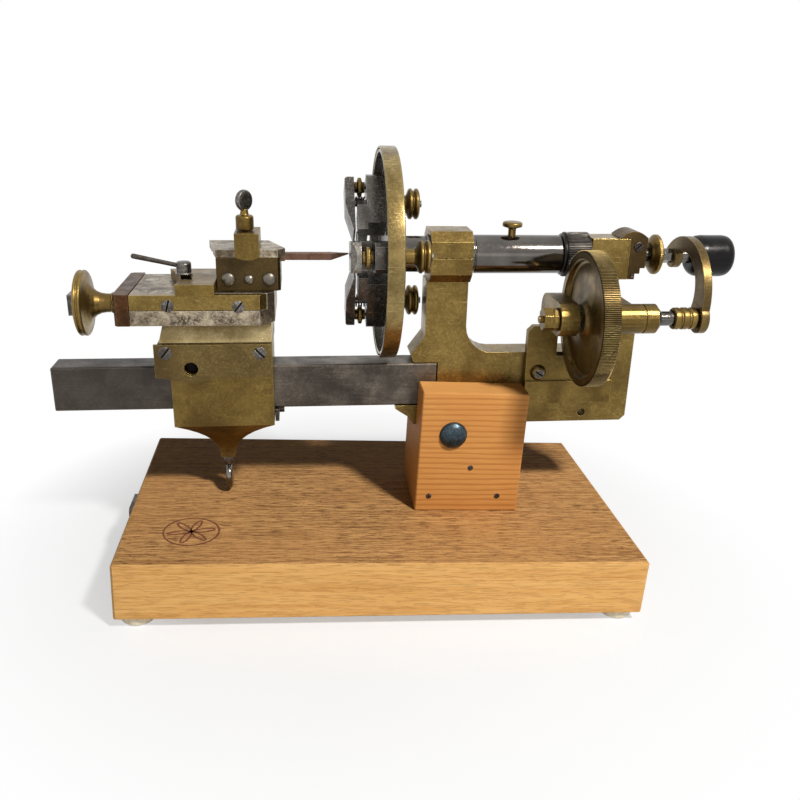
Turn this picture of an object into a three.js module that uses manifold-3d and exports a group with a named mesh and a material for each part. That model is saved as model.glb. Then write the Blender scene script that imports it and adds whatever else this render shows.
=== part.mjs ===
import * as THREE from 'three';
import { mergeVertices } from 'three/addons/utils/BufferGeometryUtils.js';
import Module from 'manifold-3d';

// Millimetres, +Z up, the viewer on the -Y side and the crank at +X.
// Stand pieces use the board's frame. Lathe pieces use a frame on the spindle axis, with x = 0
// at the front of the faceplate, and the whole lathe leans by lathe_lean in its wooden block.

const wasm = await Module();
wasm.setup();

// General sizes
const seat_gap = 0.3;
const turning_gap = 0.3;
const overrun = 2;
const round_sides = 24;
const small_sides = 12;
const middle_sides = 16;
const wide_sides = 32;
const right_angle = Math.PI / 2;
const full_turn = Math.PI * 2;

// Stand
const lathe_lean = 2.25 * Math.PI / 180;
const board = { length: 222, depth: 127.5, height: 25.4, chamfer: 0.9 };
const foot = { radius: 7.4, height: 4.6, round: 1.2, inset_x: 8.4, inset_y: 9 };
const block = {
  left: 126.5, width: 48, front: 46, depth: 42.8, height: 58.2, chamfer: 0.5, face_overhang: 21.25, axis_over: 55.74,
};
const bolt = { x: 15, z: 38, head_radius: 6.3, head_height: 3.2, shank_radius: 3, nut_radius: 5.5, nut_height: 4 };
// The block holds the lathe, so the place of the spindle axis goes with the block
const axis_at = {
  x: block.left - block.face_overhang,
  y: block.front + block.depth / 2,
  z: board.height + block.height + block.axis_over,
};

// Bed and headstock
const bar = { left: -140.8, right: 27.2, top: -48.1, height: 20, width: 13.1, chamfer: 0.6 };
const frame = {
  thickness: 13.1, left: 21.1, upright_width: 18.4, rail_top: -43.4, rail_bottom: -77.6, right: 118.2,
  neck_right: 107.6, neck_left: 94, shoulder_z: -32, corner: 2.4, fillet: 12.6,
  flare_top: -35.5, flare_out: 6.2, flare_low: -44.1, lip_in: 1.5,
  jaw_left: 8.6, jaw_drop: 1.6, jaw_slope_x: 5.6, jaw_slope_z: 4, jaw_toe: 8.4,
  tang_left: 28, tang_right: 60, tang_drop: 17,
  hole_x: 96.7, hole_z: -73.4, hole_radius: 1.9,
};
const housing = { left: 21.9, right: 40.1, half: 11, flat_half: 7 };
const rear_head = { left: 93.9, right: 111.3, top: 8, bottom: -10 };
const rear_cap = {
  length: 7.4, top: 7.6, bottom: -10, step: 2.2, step_rise: 5, width: 12.6,
  arch_left: 106.4, arch_rise: 2.9, bore: 4.6,
};

// Gear bracket
const plate = {
  left: 67.1, right: 107.8, top: -30.2, bottom: -66.6, thickness: 3.6, corner: 2.4,
  ledge_top: -55.9, ledge_thickness: 1.1, slot_left: 79.3, slot_right: 92.6, slot_bottom: -44.7,
};
const shaft_axis = { y: -31.1, z: -21.4 };
const lug = { radius: 7.1, left: 73, width: 7.8, right_from: 95.4, right_width: 11, right_radius: 5.4 };
const pivot = { nut_radius: 4.9, nut_length: 4.2, washer_radius: 5, washer_length: 1.9, radius: 1.5, right: 84.6 };
const bush = { left: 93.2, right: 115.2, radius: 6.3, groove_at: 109.3, groove_width: 0.7, groove_depth: 0.5 };
const bush_liner = { radius: 4.6, cone_radius: 5.6, cone_length: 1.2 };

// Gear wheel, pinion and crank
const gear = {
  left: 83, width: 7.2, teeth: 160, pinion_teeth: 54, addendum_share: 0.85, dedendum_share: 1.1,
  root_share: 0.38, rim: 3, hub_radius: 6.6, hub_foot_radius: 13, recess: 2.4,
};
const shaft = { left: 83.4, right: 137.4, radius: 3.1, socket_depth: 1.8 };
const collar = { left: 123.2, right: 133.4, radius: 4.7, ring_depth: 0.6, ring_width: 1 };
const arm = {
  left: 133.7, thickness: 3.5, outer_y: -11.8, outer_z: -14.3, outer_radius: 24.2, inner_y: -11.5, inner_z: -11.6,
  inner_radius: 15.3, hub_radius: 6.4, end_radius: 5.2, steps: 18,
};
const arm_sweep = { outer_from: 208, outer_to: 32, inner_from: 206, inner_to: 42 };
const grip = {
  y: 1.2, z: -0.8, left: 141.8, length: 19.2, radius: 9.3, neck_radius: 6, end_round: 3.6, lip: 0.9, lip_share: 0.62,
};
const pin = { radius: 1.9, collar_radius: 3.4, head_radius: 3.1, head_length: 1.3, nut_radius: 3.3, nut_length: 4 };

// Mandrel and faceplate
const mandrel = {
  left: 7.3, neck_radius: 7.8, neck_right: 20.6, radius: 8.4, tube_right: 81, core_radius: 6.5, core_right: 93.5,
  tail_radius: 5, right: 110.9,
};
const face = {
  radius: 45, thickness: 7, band: 1.1, edge: 0.5, wall: 1.1, recess: 4.5, slot_half: 2.3, slot_in: 13, slot_out: 35,
  sides: 60,
};
const pinion = { left: 82.6, right: 93.3, flange_left: 81.3, flange_radius: 9.2 };
const lock = { x: 59, radius: 1.7, bottom: 3.5, head_bottom: 11.6, head_top: 14.2, head_radius: 4.4 };
const runner = { radius: 3.1, left: -8.3, cone: 5, tip_radius: 0.4, right: 124 };
const knob = { left: 121.8, right: 126.2, small_radius: 5.4, radius: 8.9, cone: 2.8, edge: 0.4 };
const work = { radius: 9.6, left: -9.1, right: -8.6 };

// Dogs
const dog = {
  turns: [82, -38, 202], names: ['near', 'top', 'low'], half_width: 5.9, inner: 8.7, outer: 36.6,
  finger_left: -13.5, finger_right: -9.4, tip: 0.9, taper_from: 20.6, nose: 3.2, nose_depth: 2.4, corner: 2.6,
  base_thick_left: -8.3, base_left: -4.1, step_at: 20.6, base_right: 4.2, inner_rise: 3.3, rise_from: -4,
  tongue_half: 2, tongue_in: 19.6, tongue_out: 30.4, tongue_right: 6.6, base_corner: 1.6,
};
const stud = { at: 24.6, radius: 1.5, right: 20.6 };
const jack = { at: 32.6, left: -9.1, right: -4.4, radius: 4.4, edge_radius: 2.7, bore: 1.1, pin_radius: 0.8, pin_left: -8.7 };
const coil = { wire: 0.35, radius: 2.7, turns: 3.4, steps: 8, sides: 5 };
const back_nut = {
  left: 7.3, neck_radius: 3.3, neck_right: 14.2, bead_radius: 6.8, bead_width: 2.6, waist_radius: 5.4, edge: 0.7,
  bore: 1.8,
};

// Saddle
const saddle = {
  left: -89.6, right: -46, half_depth: 12, top: -36.3, bottom: -74.4, deck_left: -94.3, deck_depth: 4, deck_back: 22,
};
const saddle_foot = { height: 19.2, neck_half: 3.1, middle_x: -67.9, steps: 9, curve: 2.4, bore: 1.9 };
const foot_screw = {
  radius: 1.6, top: -69, collar_radius: 2.7, collar_length: 3.4, bottom: -109.6, head_height: 12.8, head_half: 6.4,
  head_half_thickness: 1.5,
};
const front_plate = {
  left: -95.7, right: -46.3, thickness: 1.5, drop: 14.7, bulge: 2, bulge_x: -80.6, bulge_half: 12, hole_z: -47.1,
  hole_radius: 3.1, hole_depth: 4,
};
const gib = { thickness: 1.7, top: -68.5, bottom: -74.1, half_depth: 8, screw_radius: 1.8, screw_length: 2.2, z: -71 };

// Cross slide and bed of the top slide
const cross = {
  left: -93.6, right: -46.2, back: 20.4, top: -27.3, bevel: 3.2, side_bevel: 2, front: -11.9,
};
const slide = {
  left: -103.2, right: -44.5, front: -17.5, depth: 41.5, bottom: -26.9, top: -14, chamfer_x: 6, chamfer_y: 6.4,
  strip_height: 6.3, strip_depth: 3, channel_left: -83.7, channel_width: 10, channel_depth: 11.2, end_wall: 5,
};
const end_block = { left: -109.7, front: -17.5, back: 26, top: -13.7, bottom: -27, corner: 1.2 };
const lead = { y: 2.5, z: -21.9, radius: 2, left: -129.4, right: -46.4 };
const wheel = {
  nut_left: -131.6, nut_radius: 6.3, left: -127.7, radius: 14.1, waist: 13.3, bead: 1.8, edge: 0.5,
  hub_radius: 4, hub_shares: [[0, 0.9], [0.08, 0.6], [0.2, 0.42], [0.42, 0.31]], collar_radius: 5, collar_left: -112.8,
  collar_neck: 0.8, collar_right: -110.1,
};

// Carriage and tool holder
const carriage = {
  left: -84, right: -68.4, front: -20.5, back: 11.6, bottom: -13.7, top: -8.9, left_back: -90, notch: 3.2,
  slot_x: -80.3, slot_front: -10.5, slot_back_x: -83.6, slot_back: 6, slot_half: 2.1,
  nut_left: -77.6, nut_half: 4.4, nut_bottom: -24.6,
  tongue_right: -46, tongue_front: -7, tongue_back: 8, tongue_top: -10.9,
};
const clamp = { x: -82.6, y: -0.4, radius: 3.2, bottom: -8.1, top: -3.3, dome: 0.7, washer_radius: 3.6, stud: 1.5 };
const lever = { radius: 1.05, left: -104, left_z: -0.9, right: -79.9, right_z: -6.1, ball: 1.5 };
const tool_block = { left: -68.1, right: -41.7, front: -11, back: 12, bottom: -13.6, top: 0.1, corner: 1.2 };
const tool_plate = {
  left: -68.2, right: -39.6, front: -11, back: 11.4, skew: 4.4, bottom: 0.4, top: 3.65, corner_x: 3, corner_y: 4,
};
const column = { left: -60, right: -50, front: -14.2, back: 3.6, top: 10.7, foot: -0.2, arc_rise: 1.2 };
const tool_screw = {
  x: -55.9, y: -6, radius: 1.3, collar_radius: 3.7, collar_top: 17, neck_top: 19.2, top: 27.3, head_half: 4.2,
  head_half_thickness: 1.4, turn: 48, edge: 0.5,
};
const tool = {
  half: 1.9, z: -1, left: -66, shoulder: -39.9, nose_from: -20.2, tip: -12.6, tip_z: 0.1, nose_half: 1.5, tip_half: 0.25,
};

// Helpers that turn outlines and profiles into closed solids
const toSolid = (geometry, matrix) => {
  const copy = geometry.index ? geometry.clone() : geometry;
  copy.deleteAttribute('normal');
  copy.deleteAttribute('uv');
  if (matrix) {
    copy.applyMatrix4(matrix);
  }
  const merged = mergeVertices(copy, 1e-4);
  const solid = new wasm.Manifold(new wasm.Mesh({
    numProp: 3,
    vertProperties: new Float32Array(merged.attributes.position.array),
    triVerts: new Uint32Array(merged.index.array),
  }));
  return solid;
};

const blockOf = (x0, x1, y0, y1, z0, z1) => {
  const geometry = new THREE.BoxGeometry(x1 - x0, y1 - y0, z1 - z0);
  return toSolid(geometry, new THREE.Matrix4().makeTranslation((x0 + x1) / 2, (y0 + y1) / 2, (z0 + z1) / 2));
};

const basis = (xAxis, yAxis, zAxis) => new THREE.Matrix4().makeBasis(xAxis, yAxis, zAxis);
const X = new THREE.Vector3(1, 0, 0);
const Y = new THREE.Vector3(0, 1, 0);
const Z = new THREE.Vector3(0, 0, 1);
const minus = (v) => v.clone().negate();

// Prism of an outline: plane 'xz' runs along Y, 'yz' along X and 'xy' along Z
const prismOf = (plane, points, from, to, holes = []) => {
  const shape = new THREE.Shape(points.map(([a, b]) => new THREE.Vector2(a, b)));
  for (const hole of holes) {
    shape.holes.push(new THREE.Path(hole.map(([a, b]) => new THREE.Vector2(a, b))));
  }
  const geometry = new THREE.ExtrudeGeometry(shape, { depth: to - from, bevelEnabled: false });
  const frames = { xz: basis(X, Z, minus(Y)), yz: basis(Y, Z, X), xy: basis(X, Y, Z) };
  const start = { xz: [0, to, 0], yz: [from, 0, 0], xy: [0, 0, from] }[plane];
  return toSolid(geometry, frames[plane].setPosition(...start));
};

// Turned solid: the profile lists [along, radius] and must start and end on the axis
const turnedOf = (axis, profile, centre = [0, 0], sides = round_sides, phase = 0) => {
  const rows = profile.map(([along, radius]) => new THREE.Vector2(Math.max(radius, 0), along));
  const geometry = new THREE.LatheGeometry(rows, sides, phase);
  const spin = {
    x: basis(Y, X, minus(Z)),
    y: basis(X, Y, Z),
    z: basis(X, Z, minus(Y)),
  }[axis];
  const place = { x: [0, ...centre], y: [centre[0], 0, centre[1]], z: [...centre, 0] }[axis];
  return toSolid(geometry, spin.setPosition(...place));
};

const rodOf = (axis, from, to, radius, centre, sides, phase) =>
  turnedOf(axis, [[from, 0], [from, radius], [to, radius], [to, 0]], centre, sides, phase);

const circlePoints = (cx, cy, radius, count, start = 0, sweep = full_turn) =>
  Array.from({ length: count }, (_, i) => {
    const angle = start + (sweep * i) / (sweep === full_turn ? count : count - 1);
    return [cx + radius * Math.cos(angle), cy + radius * Math.sin(angle)];
  });

const moved = (solid, matrix) => solid.transform(matrix.elements);
const joined = (...solids) => solids.reduce((a, b) => a.add(b));
const cut = (solid, ...tools) => tools.reduce((a, b) => a.subtract(b), solid);

const toGeometry = (solid) => {
  const mesh = solid.getMesh();
  const geometry = new THREE.BufferGeometry();
  const stride = mesh.numProp;
  const points = new Float32Array((mesh.vertProperties.length / stride) * 3);
  for (let i = 0; i < points.length / 3; i += 1) {
    for (let k = 0; k < 3; k += 1) {
      points[i * 3 + k] = mesh.vertProperties[i * stride + k];
    }
  }
  geometry.setAttribute('position', new THREE.BufferAttribute(points, 3));
  geometry.setIndex(new THREE.BufferAttribute(new Uint32Array(mesh.triVerts), 1));
  geometry.computeVertexNormals();
  return geometry;
};

const root = new THREE.Group();
root.name = 'watchmakers_lathe';
const stand = new THREE.Group();
stand.name = 'stand';
const lathe = new THREE.Group();
lathe.name = 'lathe';
lathe.rotation.y = -lathe_lean;
lathe.position.set(axis_at.x, axis_at.y, axis_at.z);
lathe.updateMatrix();
root.add(stand, lathe);

const colours = {
  pine: 0xd09a5c, board: 0xa97a4c, cream: 0xe6dfc8, steel: 0x8f8c86, darkSteel: 0x4d4b48,
  brass: 0xa58a45, copper: 0x6e4126, ebony: 0x1c1b1d, blued: 0x2c3a44,
};

const addPiece = (parent, name, solid, colour) => {
  const mesh = new THREE.Mesh(toGeometry(solid), new THREE.MeshStandardMaterial({ color: colours[colour] }));
  mesh.name = name;
  parent.add(mesh);
  return mesh;
};

// Stand pieces
const boardTop = board.height;
const blockRight = block.left + block.width;
const blockBack = block.front + block.depth;
const blockTop = boardTop + block.height;

const chamferedBox = (x0, x1, y0, y1, z0, z1, c) => {
  const plan = [
    [x0 + c, y0], [x1 - c, y0], [x1, y0 + c], [x1, y1 - c], [x1 - c, y1], [x0 + c, y1], [x0, y1 - c], [x0, y0 + c],
  ];
  const body = prismOf('xy', plan, z0, z1);
  const side = [
    [x0, z0 + c], [x0 + c, z0], [x1 - c, z0], [x1, z0 + c], [x1, z1 - c], [x1 - c, z1], [x0 + c, z1], [x0, z1 - c],
  ];
  const depth = [
    [y0, z0 + c], [y0 + c, z0], [y1 - c, z0], [y1, z0 + c], [y1, z1 - c], [y1 - c, z1], [y0 + c, z1], [y0, z1 - c],
  ];
  return body.intersect(prismOf('xz', side, y0 - overrun, y1 + overrun))
    .intersect(prismOf('yz', depth, x0 - overrun, x1 + overrun));
};

const baseBoard = () => chamferedBox(0, board.length, 0, board.depth, 0, board.height, board.chamfer);

const footPlaces = () => [['front', foot.inset_y], ['rear', board.depth - foot.inset_y]].flatMap(([row, y]) => [
  [`foot_${row}_left`, [foot.inset_x, y]],
  [`foot_${row}_right`, [board.length - foot.inset_x, y]],
]);

const footAt = (at) => turnedOf('z', [
  [-foot.height, 0], [-foot.height, foot.radius - foot.round], [-foot.height + foot.round, foot.radius],
  [0, foot.radius], [0, 0],
], at, small_sides);

// Solid that the lathe's frame and bar take up in the block, in the stand's frame, with a seat gap
const half_frame = frame.thickness / 2;
const half_bar = bar.width / 2;
const inStand = (solid) => moved(solid, lathe.matrix);

const frameRoom = () => inStand(joined(
  blockOf(frame.jaw_left - overrun, frame.right, -half_frame - seat_gap, half_frame + seat_gap,
    frame.rail_bottom - seat_gap, bar.top),
  blockOf(frame.tang_left - seat_gap, frame.tang_right + seat_gap, -half_frame - seat_gap, half_frame + seat_gap,
    frame.rail_bottom - frame.tang_drop - seat_gap, frame.rail_top),
));

const boltX = block.left + bolt.x;
const boltZ = boardTop + bolt.z;

const woodBlock = () => cut(
  chamferedBox(block.left, blockRight, block.front, blockBack, boardTop, blockTop, block.chamfer),
  frameRoom(),
  rodOf('y', block.front - overrun, blockBack + overrun, bolt.shank_radius + turning_gap, [boltX, boltZ]),
);

const blockBolt = () => {
  const domeShares = [[-1, 0], [-1, 0.2], [-0.88, 0.5], [-0.6, 0.78], [-0.25, 0.95], [0, 1]];
  const nutRight = blockBack + bolt.nut_height;
  return turnedOf('y', [
    ...domeShares.map(([along, out]) => [block.front + bolt.head_height * along, bolt.head_radius * out]),
    [block.front, bolt.shank_radius], [blockBack, bolt.shank_radius],
    [blockBack, bolt.nut_radius], [nutRight, bolt.nut_radius],
    [nutRight, bolt.shank_radius], [nutRight + bolt.shank_radius, bolt.shank_radius],
    [nutRight + bolt.shank_radius, 0],
  ], [boltX, boltZ], middle_sides);
};

addPiece(stand, 'base_board', baseBoard(), 'board');
footPlaces().forEach(([name, at]) => addPiece(stand, name, footAt(at), 'cream'));
addPiece(stand, 'wood_block', woodBlock(), 'pine');
addPiece(stand, 'block_bolt', blockBolt(), 'blued');

// Bed bar and headstock frame
const bedBar = () => chamferedBox(bar.left, bar.right, -half_bar, half_bar, bar.top - bar.height, bar.top, bar.chamfer);

const frameOutline = () => {
  const uprightRight = frame.left + frame.upright_width;
  const filletCount = 7;
  const fillet = circlePoints(
    uprightRight + frame.fillet, frame.rail_top + frame.fillet, frame.fillet, filletCount, -right_angle, -right_angle,
  ).reverse();
  return [
    [frame.left, -housing.half + seat_gap], [frame.left, frame.flare_top],
    [frame.left - frame.flare_out, frame.flare_low], [frame.left - frame.flare_out + frame.lip_in, bar.top + seat_gap],
    [bar.right + seat_gap, bar.top + seat_gap], [bar.right + seat_gap, bar.top - bar.height - seat_gap],
    [frame.jaw_left, bar.top - bar.height - seat_gap],
    [frame.jaw_left, bar.top - bar.height - seat_gap - frame.jaw_drop],
    [frame.jaw_left + frame.jaw_slope_x, bar.top - bar.height - frame.jaw_drop - frame.jaw_slope_z],
    [frame.jaw_left + frame.jaw_toe, frame.rail_bottom],
    [frame.tang_left, frame.rail_bottom], [frame.tang_left, frame.rail_bottom - frame.tang_drop],
    [frame.tang_right, frame.rail_bottom - frame.tang_drop], [frame.tang_right, frame.rail_bottom],
    [frame.right - frame.corner, frame.rail_bottom], [frame.right, frame.rail_bottom + frame.corner],
    [frame.right, frame.shoulder_z - frame.corner], [frame.right - frame.corner, frame.shoulder_z],
    [frame.neck_right, frame.shoulder_z + frame.corner], [frame.neck_right, rear_head.bottom],
    [rear_head.right, rear_head.bottom], [rear_head.right, rear_head.top], [rear_head.left, rear_head.top],
    [rear_head.left, rear_head.bottom], [frame.neck_left, rear_head.bottom], [frame.neck_left, frame.rail_top],
    ...fillet.reverse(), [uprightRight, -housing.half + seat_gap],
  ];
};

const octagon = (half, flat) => [
  [-half, -flat], [-flat, -half], [flat, -half], [half, -flat], [half, flat], [flat, half], [-flat, half], [-half, flat],
];

const housingBlock = (from, to) => prismOf('yz', octagon(housing.half, housing.flat_half), housing.left, housing.right)
  .intersect(blockOf(housing.left - overrun, housing.right + overrun, -housing.half, housing.half, from, to));

const journalRoom = () => rodOf('x', housing.left - overrun, housing.right + overrun, mandrel.radius + turning_gap, [0, 0]);

const boltInLathe = () => {
  const inverse = lathe.matrix.clone().invert();
  const tool = rodOf('y', block.front, blockBack, bolt.shank_radius + turning_gap, [boltX, boltZ]);
  return moved(tool, inverse);
};

const headstockFrame = () => cut(
  joined(
    prismOf('xz', frameOutline(), -half_frame, half_frame),
    housingBlock(-housing.half, 0),
  ),
  journalRoom(),
  rodOf('x', rear_head.left - overrun, rear_head.right + overrun, mandrel.tail_radius + turning_gap, [0, 0]),
  rodOf('y', -half_frame - overrun, half_frame + overrun, frame.hole_radius, [frame.hole_x, frame.hole_z], small_sides),
  boltInLathe(),
);

const bearingCap = () => cut(housingBlock(seat_gap, housing.half), journalRoom());

const capRight = rear_head.right + seat_gap + rear_cap.length;
const rearCapOutline = () => {
  const left = rear_head.right + seat_gap;
  return [
    [left, rear_cap.bottom], [capRight - rear_cap.step * 2, rear_cap.bottom],
    [capRight - rear_cap.step * 2, rear_cap.bottom + rear_cap.step_rise / 2],
    [capRight - rear_cap.step, rear_cap.bottom + rear_cap.step_rise / 2],
    [capRight - rear_cap.step, rear_cap.bottom + rear_cap.step_rise],
    [capRight, rear_cap.bottom + rear_cap.step_rise], [capRight, rear_cap.top], [left, rear_cap.top],
  ];
};

const archOutline = () => {
  const middle = (rear_cap.arch_left + capRight) / 2;
  const half = (capRight - rear_cap.arch_left) / 2;
  const low = rear_head.top + seat_gap;
  const count = 9;
  const top = Array.from({ length: count }, (_, i) => {
    const share = -1 + (2 * i) / (count - 1);
    return [middle + half * share, low + rear_cap.arch_rise * (1 - share * share)];
  });
  return [[rear_cap.arch_left, low], ...top.slice(1, -1), [capRight, low]].reverse();
};

const rearCap = () => cut(
  joined(
    prismOf('xz', rearCapOutline(), -rear_cap.width / 2, rear_cap.width / 2),
    prismOf('xz', archOutline(), -rear_cap.width / 2, rear_cap.width / 2),
    blockOf(rear_head.right + seat_gap, capRight, -rear_cap.width / 2, rear_cap.width / 2,
      rear_cap.top - seat_gap, rear_head.top + seat_gap * 2),
  ),
  rodOf('x', rear_head.left, capRight + overrun, rear_cap.bore, [0, 0]),
);

addPiece(lathe, 'bed_bar', bedBar(), 'darkSteel');
addPiece(lathe, 'headstock_frame', headstockFrame(), 'brass');
addPiece(lathe, 'bearing_cap', bearingCap(), 'brass');
addPiece(lathe, 'rear_cap', rearCap(), 'brass');

// Gear bracket on the front of the rail
const plateBack = -half_frame - seat_gap;
const plateFront = plateBack - plate.thickness;

const bracketPlate = () => {
  const outline = [
    [plate.left, plate.bottom], [plate.right, plate.bottom], [plate.right, plate.top],
    [plate.slot_right, plate.top], [plate.slot_right, plate.slot_bottom], [plate.slot_left, plate.slot_bottom],
    [plate.slot_left, plate.top], [plate.left + plate.corner, plate.top], [plate.left, plate.top - plate.corner],
  ];
  const ledge = blockOf(plate.left, plate.right, plateFront - plate.ledge_thickness, plateFront + seat_gap,
    plate.bottom, plate.ledge_top);
  return joined(prismOf('xz', outline, plateFront, plateBack), ledge);
};

// A lug has a round nose on the shaft axis, runs back over the plate and is round there too
const lugOutline = (radius) => [
  ...circlePoints(shaft_axis.y, shaft_axis.z, radius, small_sides, right_angle, Math.PI),
  ...circlePoints(plateBack - radius, shaft_axis.z, radius, small_sides, -right_angle, Math.PI),
];
const shaftCentre = [shaft_axis.y, shaft_axis.z];

const lugAt = (left, right, radius) => joined(
  prismOf('yz', lugOutline(radius), left, right),
  blockOf(left, right, plateFront, plateBack, plate.slot_bottom - plate.thickness, shaft_axis.z),
);

const bushSleeve = () => turnedOf('x', [
  [bush.left, 0], [bush.left, bush.radius], [bush.groove_at, bush.radius],
  [bush.groove_at, bush.radius - bush.groove_depth],
  [bush.groove_at + bush.groove_width, bush.radius - bush.groove_depth],
  [bush.groove_at + bush.groove_width, bush.radius], [bush.right, bush.radius], [bush.right, 0],
], shaftCentre);

const gearBracket = () => cut(
  joined(
    bracketPlate(),
    lugAt(lug.left, lug.left + lug.width, lug.radius),
    lugAt(lug.right_from, lug.right_from + lug.right_width, lug.right_radius),
    bushSleeve(),
  ),
  rodOf('x', lug.left - overrun, lug.left + lug.width + overrun, pivot.radius + turning_gap, shaftCentre, small_sides),
  rodOf('x', bush.left - overrun, bush.right + overrun, bush_liner.radius + seat_gap, shaftCentre),
);

const pivotScrew = () => {
  const washerRight = lug.left - seat_gap;
  const washerLeft = washerRight - pivot.washer_length;
  const nutLeft = washerLeft - pivot.nut_length;
  return joined(
    rodOf('x', nutLeft, washerLeft + seat_gap, pivot.nut_radius, shaftCentre, 6),
    rodOf('x', washerLeft, washerRight, pivot.washer_radius, shaftCentre, small_sides),
    rodOf('x', nutLeft - pivot.radius, pivot.right, pivot.radius, shaftCentre, small_sides),
  );
};

const bushLiner = () => {
  const coneLeft = bush.right + seat_gap;
  const body = turnedOf('x', [
    [bush.left, 0], [bush.left, bush_liner.radius], [coneLeft, bush_liner.radius], [coneLeft, bush_liner.cone_radius],
    [coneLeft + bush_liner.cone_length, bush_liner.radius], [coneLeft + bush_liner.cone_length, 0],
  ], shaftCentre, middle_sides);
  return cut(body, rodOf('x', bush.left - overrun, coneLeft + bush_liner.cone_length + overrun,
    shaft.radius + turning_gap, shaftCentre, middle_sides));
};

addPiece(lathe, 'gear_bracket', gearBracket(), 'brass');
addPiece(lathe, 'gear_pivot_screw', pivotScrew(), 'brass');
addPiece(lathe, 'crank_bush', bushLiner(), 'steel');

// Gear wheel and pinion, in mesh on the line between their axes
const centreDistance = Math.hypot(shaft_axis.y, shaft_axis.z);
const toothModule = (2 * centreDistance) / (gear.teeth + gear.pinion_teeth);
const meshAngle = Math.atan2(-shaft_axis.z, -shaft_axis.y);

const toothedOutline = (teeth, centre, firstTooth) => {
  const pitchRadius = (toothModule * teeth) / 2;
  const tipRadius = pitchRadius + toothModule * gear.addendum_share;
  const rootRadius = pitchRadius - toothModule * gear.dedendum_share;
  const pitchAngle = full_turn / teeth;
  const flank = [[rootRadius, -gear.root_share], [tipRadius, 0], [rootRadius, gear.root_share]];
  return Array.from({ length: teeth }).flatMap((_, i) => flank.map(([radius, share]) => {
    const angle = firstTooth + (i + share) * pitchAngle;
    return [centre[0] + radius * Math.cos(angle), centre[1] + radius * Math.sin(angle)];
  }));
};

const ringOf = (from, to, outer, inner, centre, sides) =>
  cut(rodOf('x', from, to, outer, centre, sides), rodOf('x', from - overrun, to + overrun, inner, centre, sides));

const gearWheel = () => {
  const right = gear.left + gear.width;
  const rimInner = (toothModule * gear.teeth) / 2 - toothModule * gear.dedendum_share - gear.rim;
  const dish = (face, floor, outside) => {
    const hub = [
      [outside, 0], [outside, gear.hub_radius], [face, gear.hub_radius], [floor, gear.hub_foot_radius], [floor, 0],
    ];
    return cut(
      rodOf('x', Math.min(floor, outside), Math.max(floor, outside), rimInner, shaftCentre, wide_sides),
      turnedOf('x', outside < floor ? hub : hub.reverse(), shaftCentre),
    );
  };
  return cut(
    prismOf('yz', toothedOutline(gear.teeth, shaftCentre, meshAngle), gear.left, right),
    dish(gear.left, gear.left + gear.recess, gear.left - overrun),
    dish(right, right - gear.recess, right + overrun),
    rodOf('x', gear.left - overrun, right + overrun, shaft.radius + seat_gap, shaftCentre, middle_sides),
  );
};

const pinionWheel = () => {
  const halfPitch = Math.PI / gear.pinion_teeth;
  return cut(
    joined(
      prismOf('yz', toothedOutline(gear.pinion_teeth, [0, 0], meshAngle + Math.PI + halfPitch), pinion.left, pinion.right),
      rodOf('x', pinion.flange_left, pinion.left + seat_gap, pinion.flange_radius, [0, 0]),
    ),
    rodOf('x', pinion.flange_left - overrun, pinion.right + overrun, mandrel.core_radius + seat_gap, [0, 0]),
  );
};

const crankShaft = () => cut(
  rodOf('x', shaft.left, shaft.right, shaft.radius, shaftCentre, middle_sides),
  rodOf('x', shaft.left - overrun, shaft.left + shaft.socket_depth, pivot.radius + turning_gap, shaftCentre, small_sides),
);

const crankCollar = () => {
  const span = collar.right - collar.left;
  const grooves = [1 / 3, 2 / 3].flatMap((share) => {
    const middle = collar.left + span * share;
    const low = collar.radius - collar.ring_depth;
    return [
      [middle - collar.ring_width, collar.radius], [middle, low], [middle + collar.ring_width, collar.radius],
    ];
  });
  const low = collar.radius - collar.ring_depth;
  return cut(
    turnedOf('x', [
      [collar.left, 0], [collar.left, low], [collar.left + collar.ring_depth, collar.radius], ...grooves,
      [collar.right - collar.ring_depth, collar.radius], [collar.right, low], [collar.right, 0],
    ], shaftCentre, middle_sides),
    rodOf('x', collar.left - overrun, collar.right + overrun, shaft.radius + seat_gap, shaftCentre, small_sides),
  );
};

const gripCentre = [grip.y, grip.z];
const armRight = arm.left + arm.thickness;

const crankArm = () => {
  const degrees = Math.PI / 180;
  const sweep = (cy, cz, radius, from, to) =>
    circlePoints(cy, cz, radius, arm.steps, from * degrees, (to - from) * degrees);
  const outline = [
    ...sweep(arm.outer_y, arm.outer_z, arm.outer_radius, arm_sweep.outer_from, arm_sweep.outer_to),
    ...sweep(arm.inner_y, arm.inner_z, arm.inner_radius, arm_sweep.inner_from, arm_sweep.inner_to).reverse(),
  ];
  return cut(
    joined(
      prismOf('yz', outline, arm.left, armRight),
      rodOf('x', arm.left, armRight, arm.hub_radius, shaftCentre),
      rodOf('x', arm.left, armRight, arm.end_radius, gripCentre),
    ),
    rodOf('x', arm.left - overrun, armRight + overrun, shaft.radius + seat_gap, shaftCentre, small_sides),
    rodOf('x', arm.left - overrun, armRight + overrun, pin.radius + seat_gap, gripCentre, small_sides),
  );
};

const gripRight = grip.left + grip.length;
const handlePin = () => joined(turnedOf('x', [
  [arm.left - 2 * seat_gap, 0], [arm.left - 2 * seat_gap, pin.radius], [armRight + seat_gap, pin.radius], [armRight + seat_gap, pin.collar_radius],
  [grip.left - turning_gap, pin.collar_radius], [grip.left - turning_gap, pin.radius],
  [gripRight + turning_gap, pin.radius], [gripRight + turning_gap, pin.head_radius],
  [gripRight + turning_gap + pin.head_length, pin.head_radius / 2], [gripRight + turning_gap + pin.head_length, 0],
], gripCentre, small_sides), rodOf('x', arm.left - seat_gap - pin.nut_length, arm.left - seat_gap, pin.nut_radius,
  gripCentre, 6));

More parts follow.
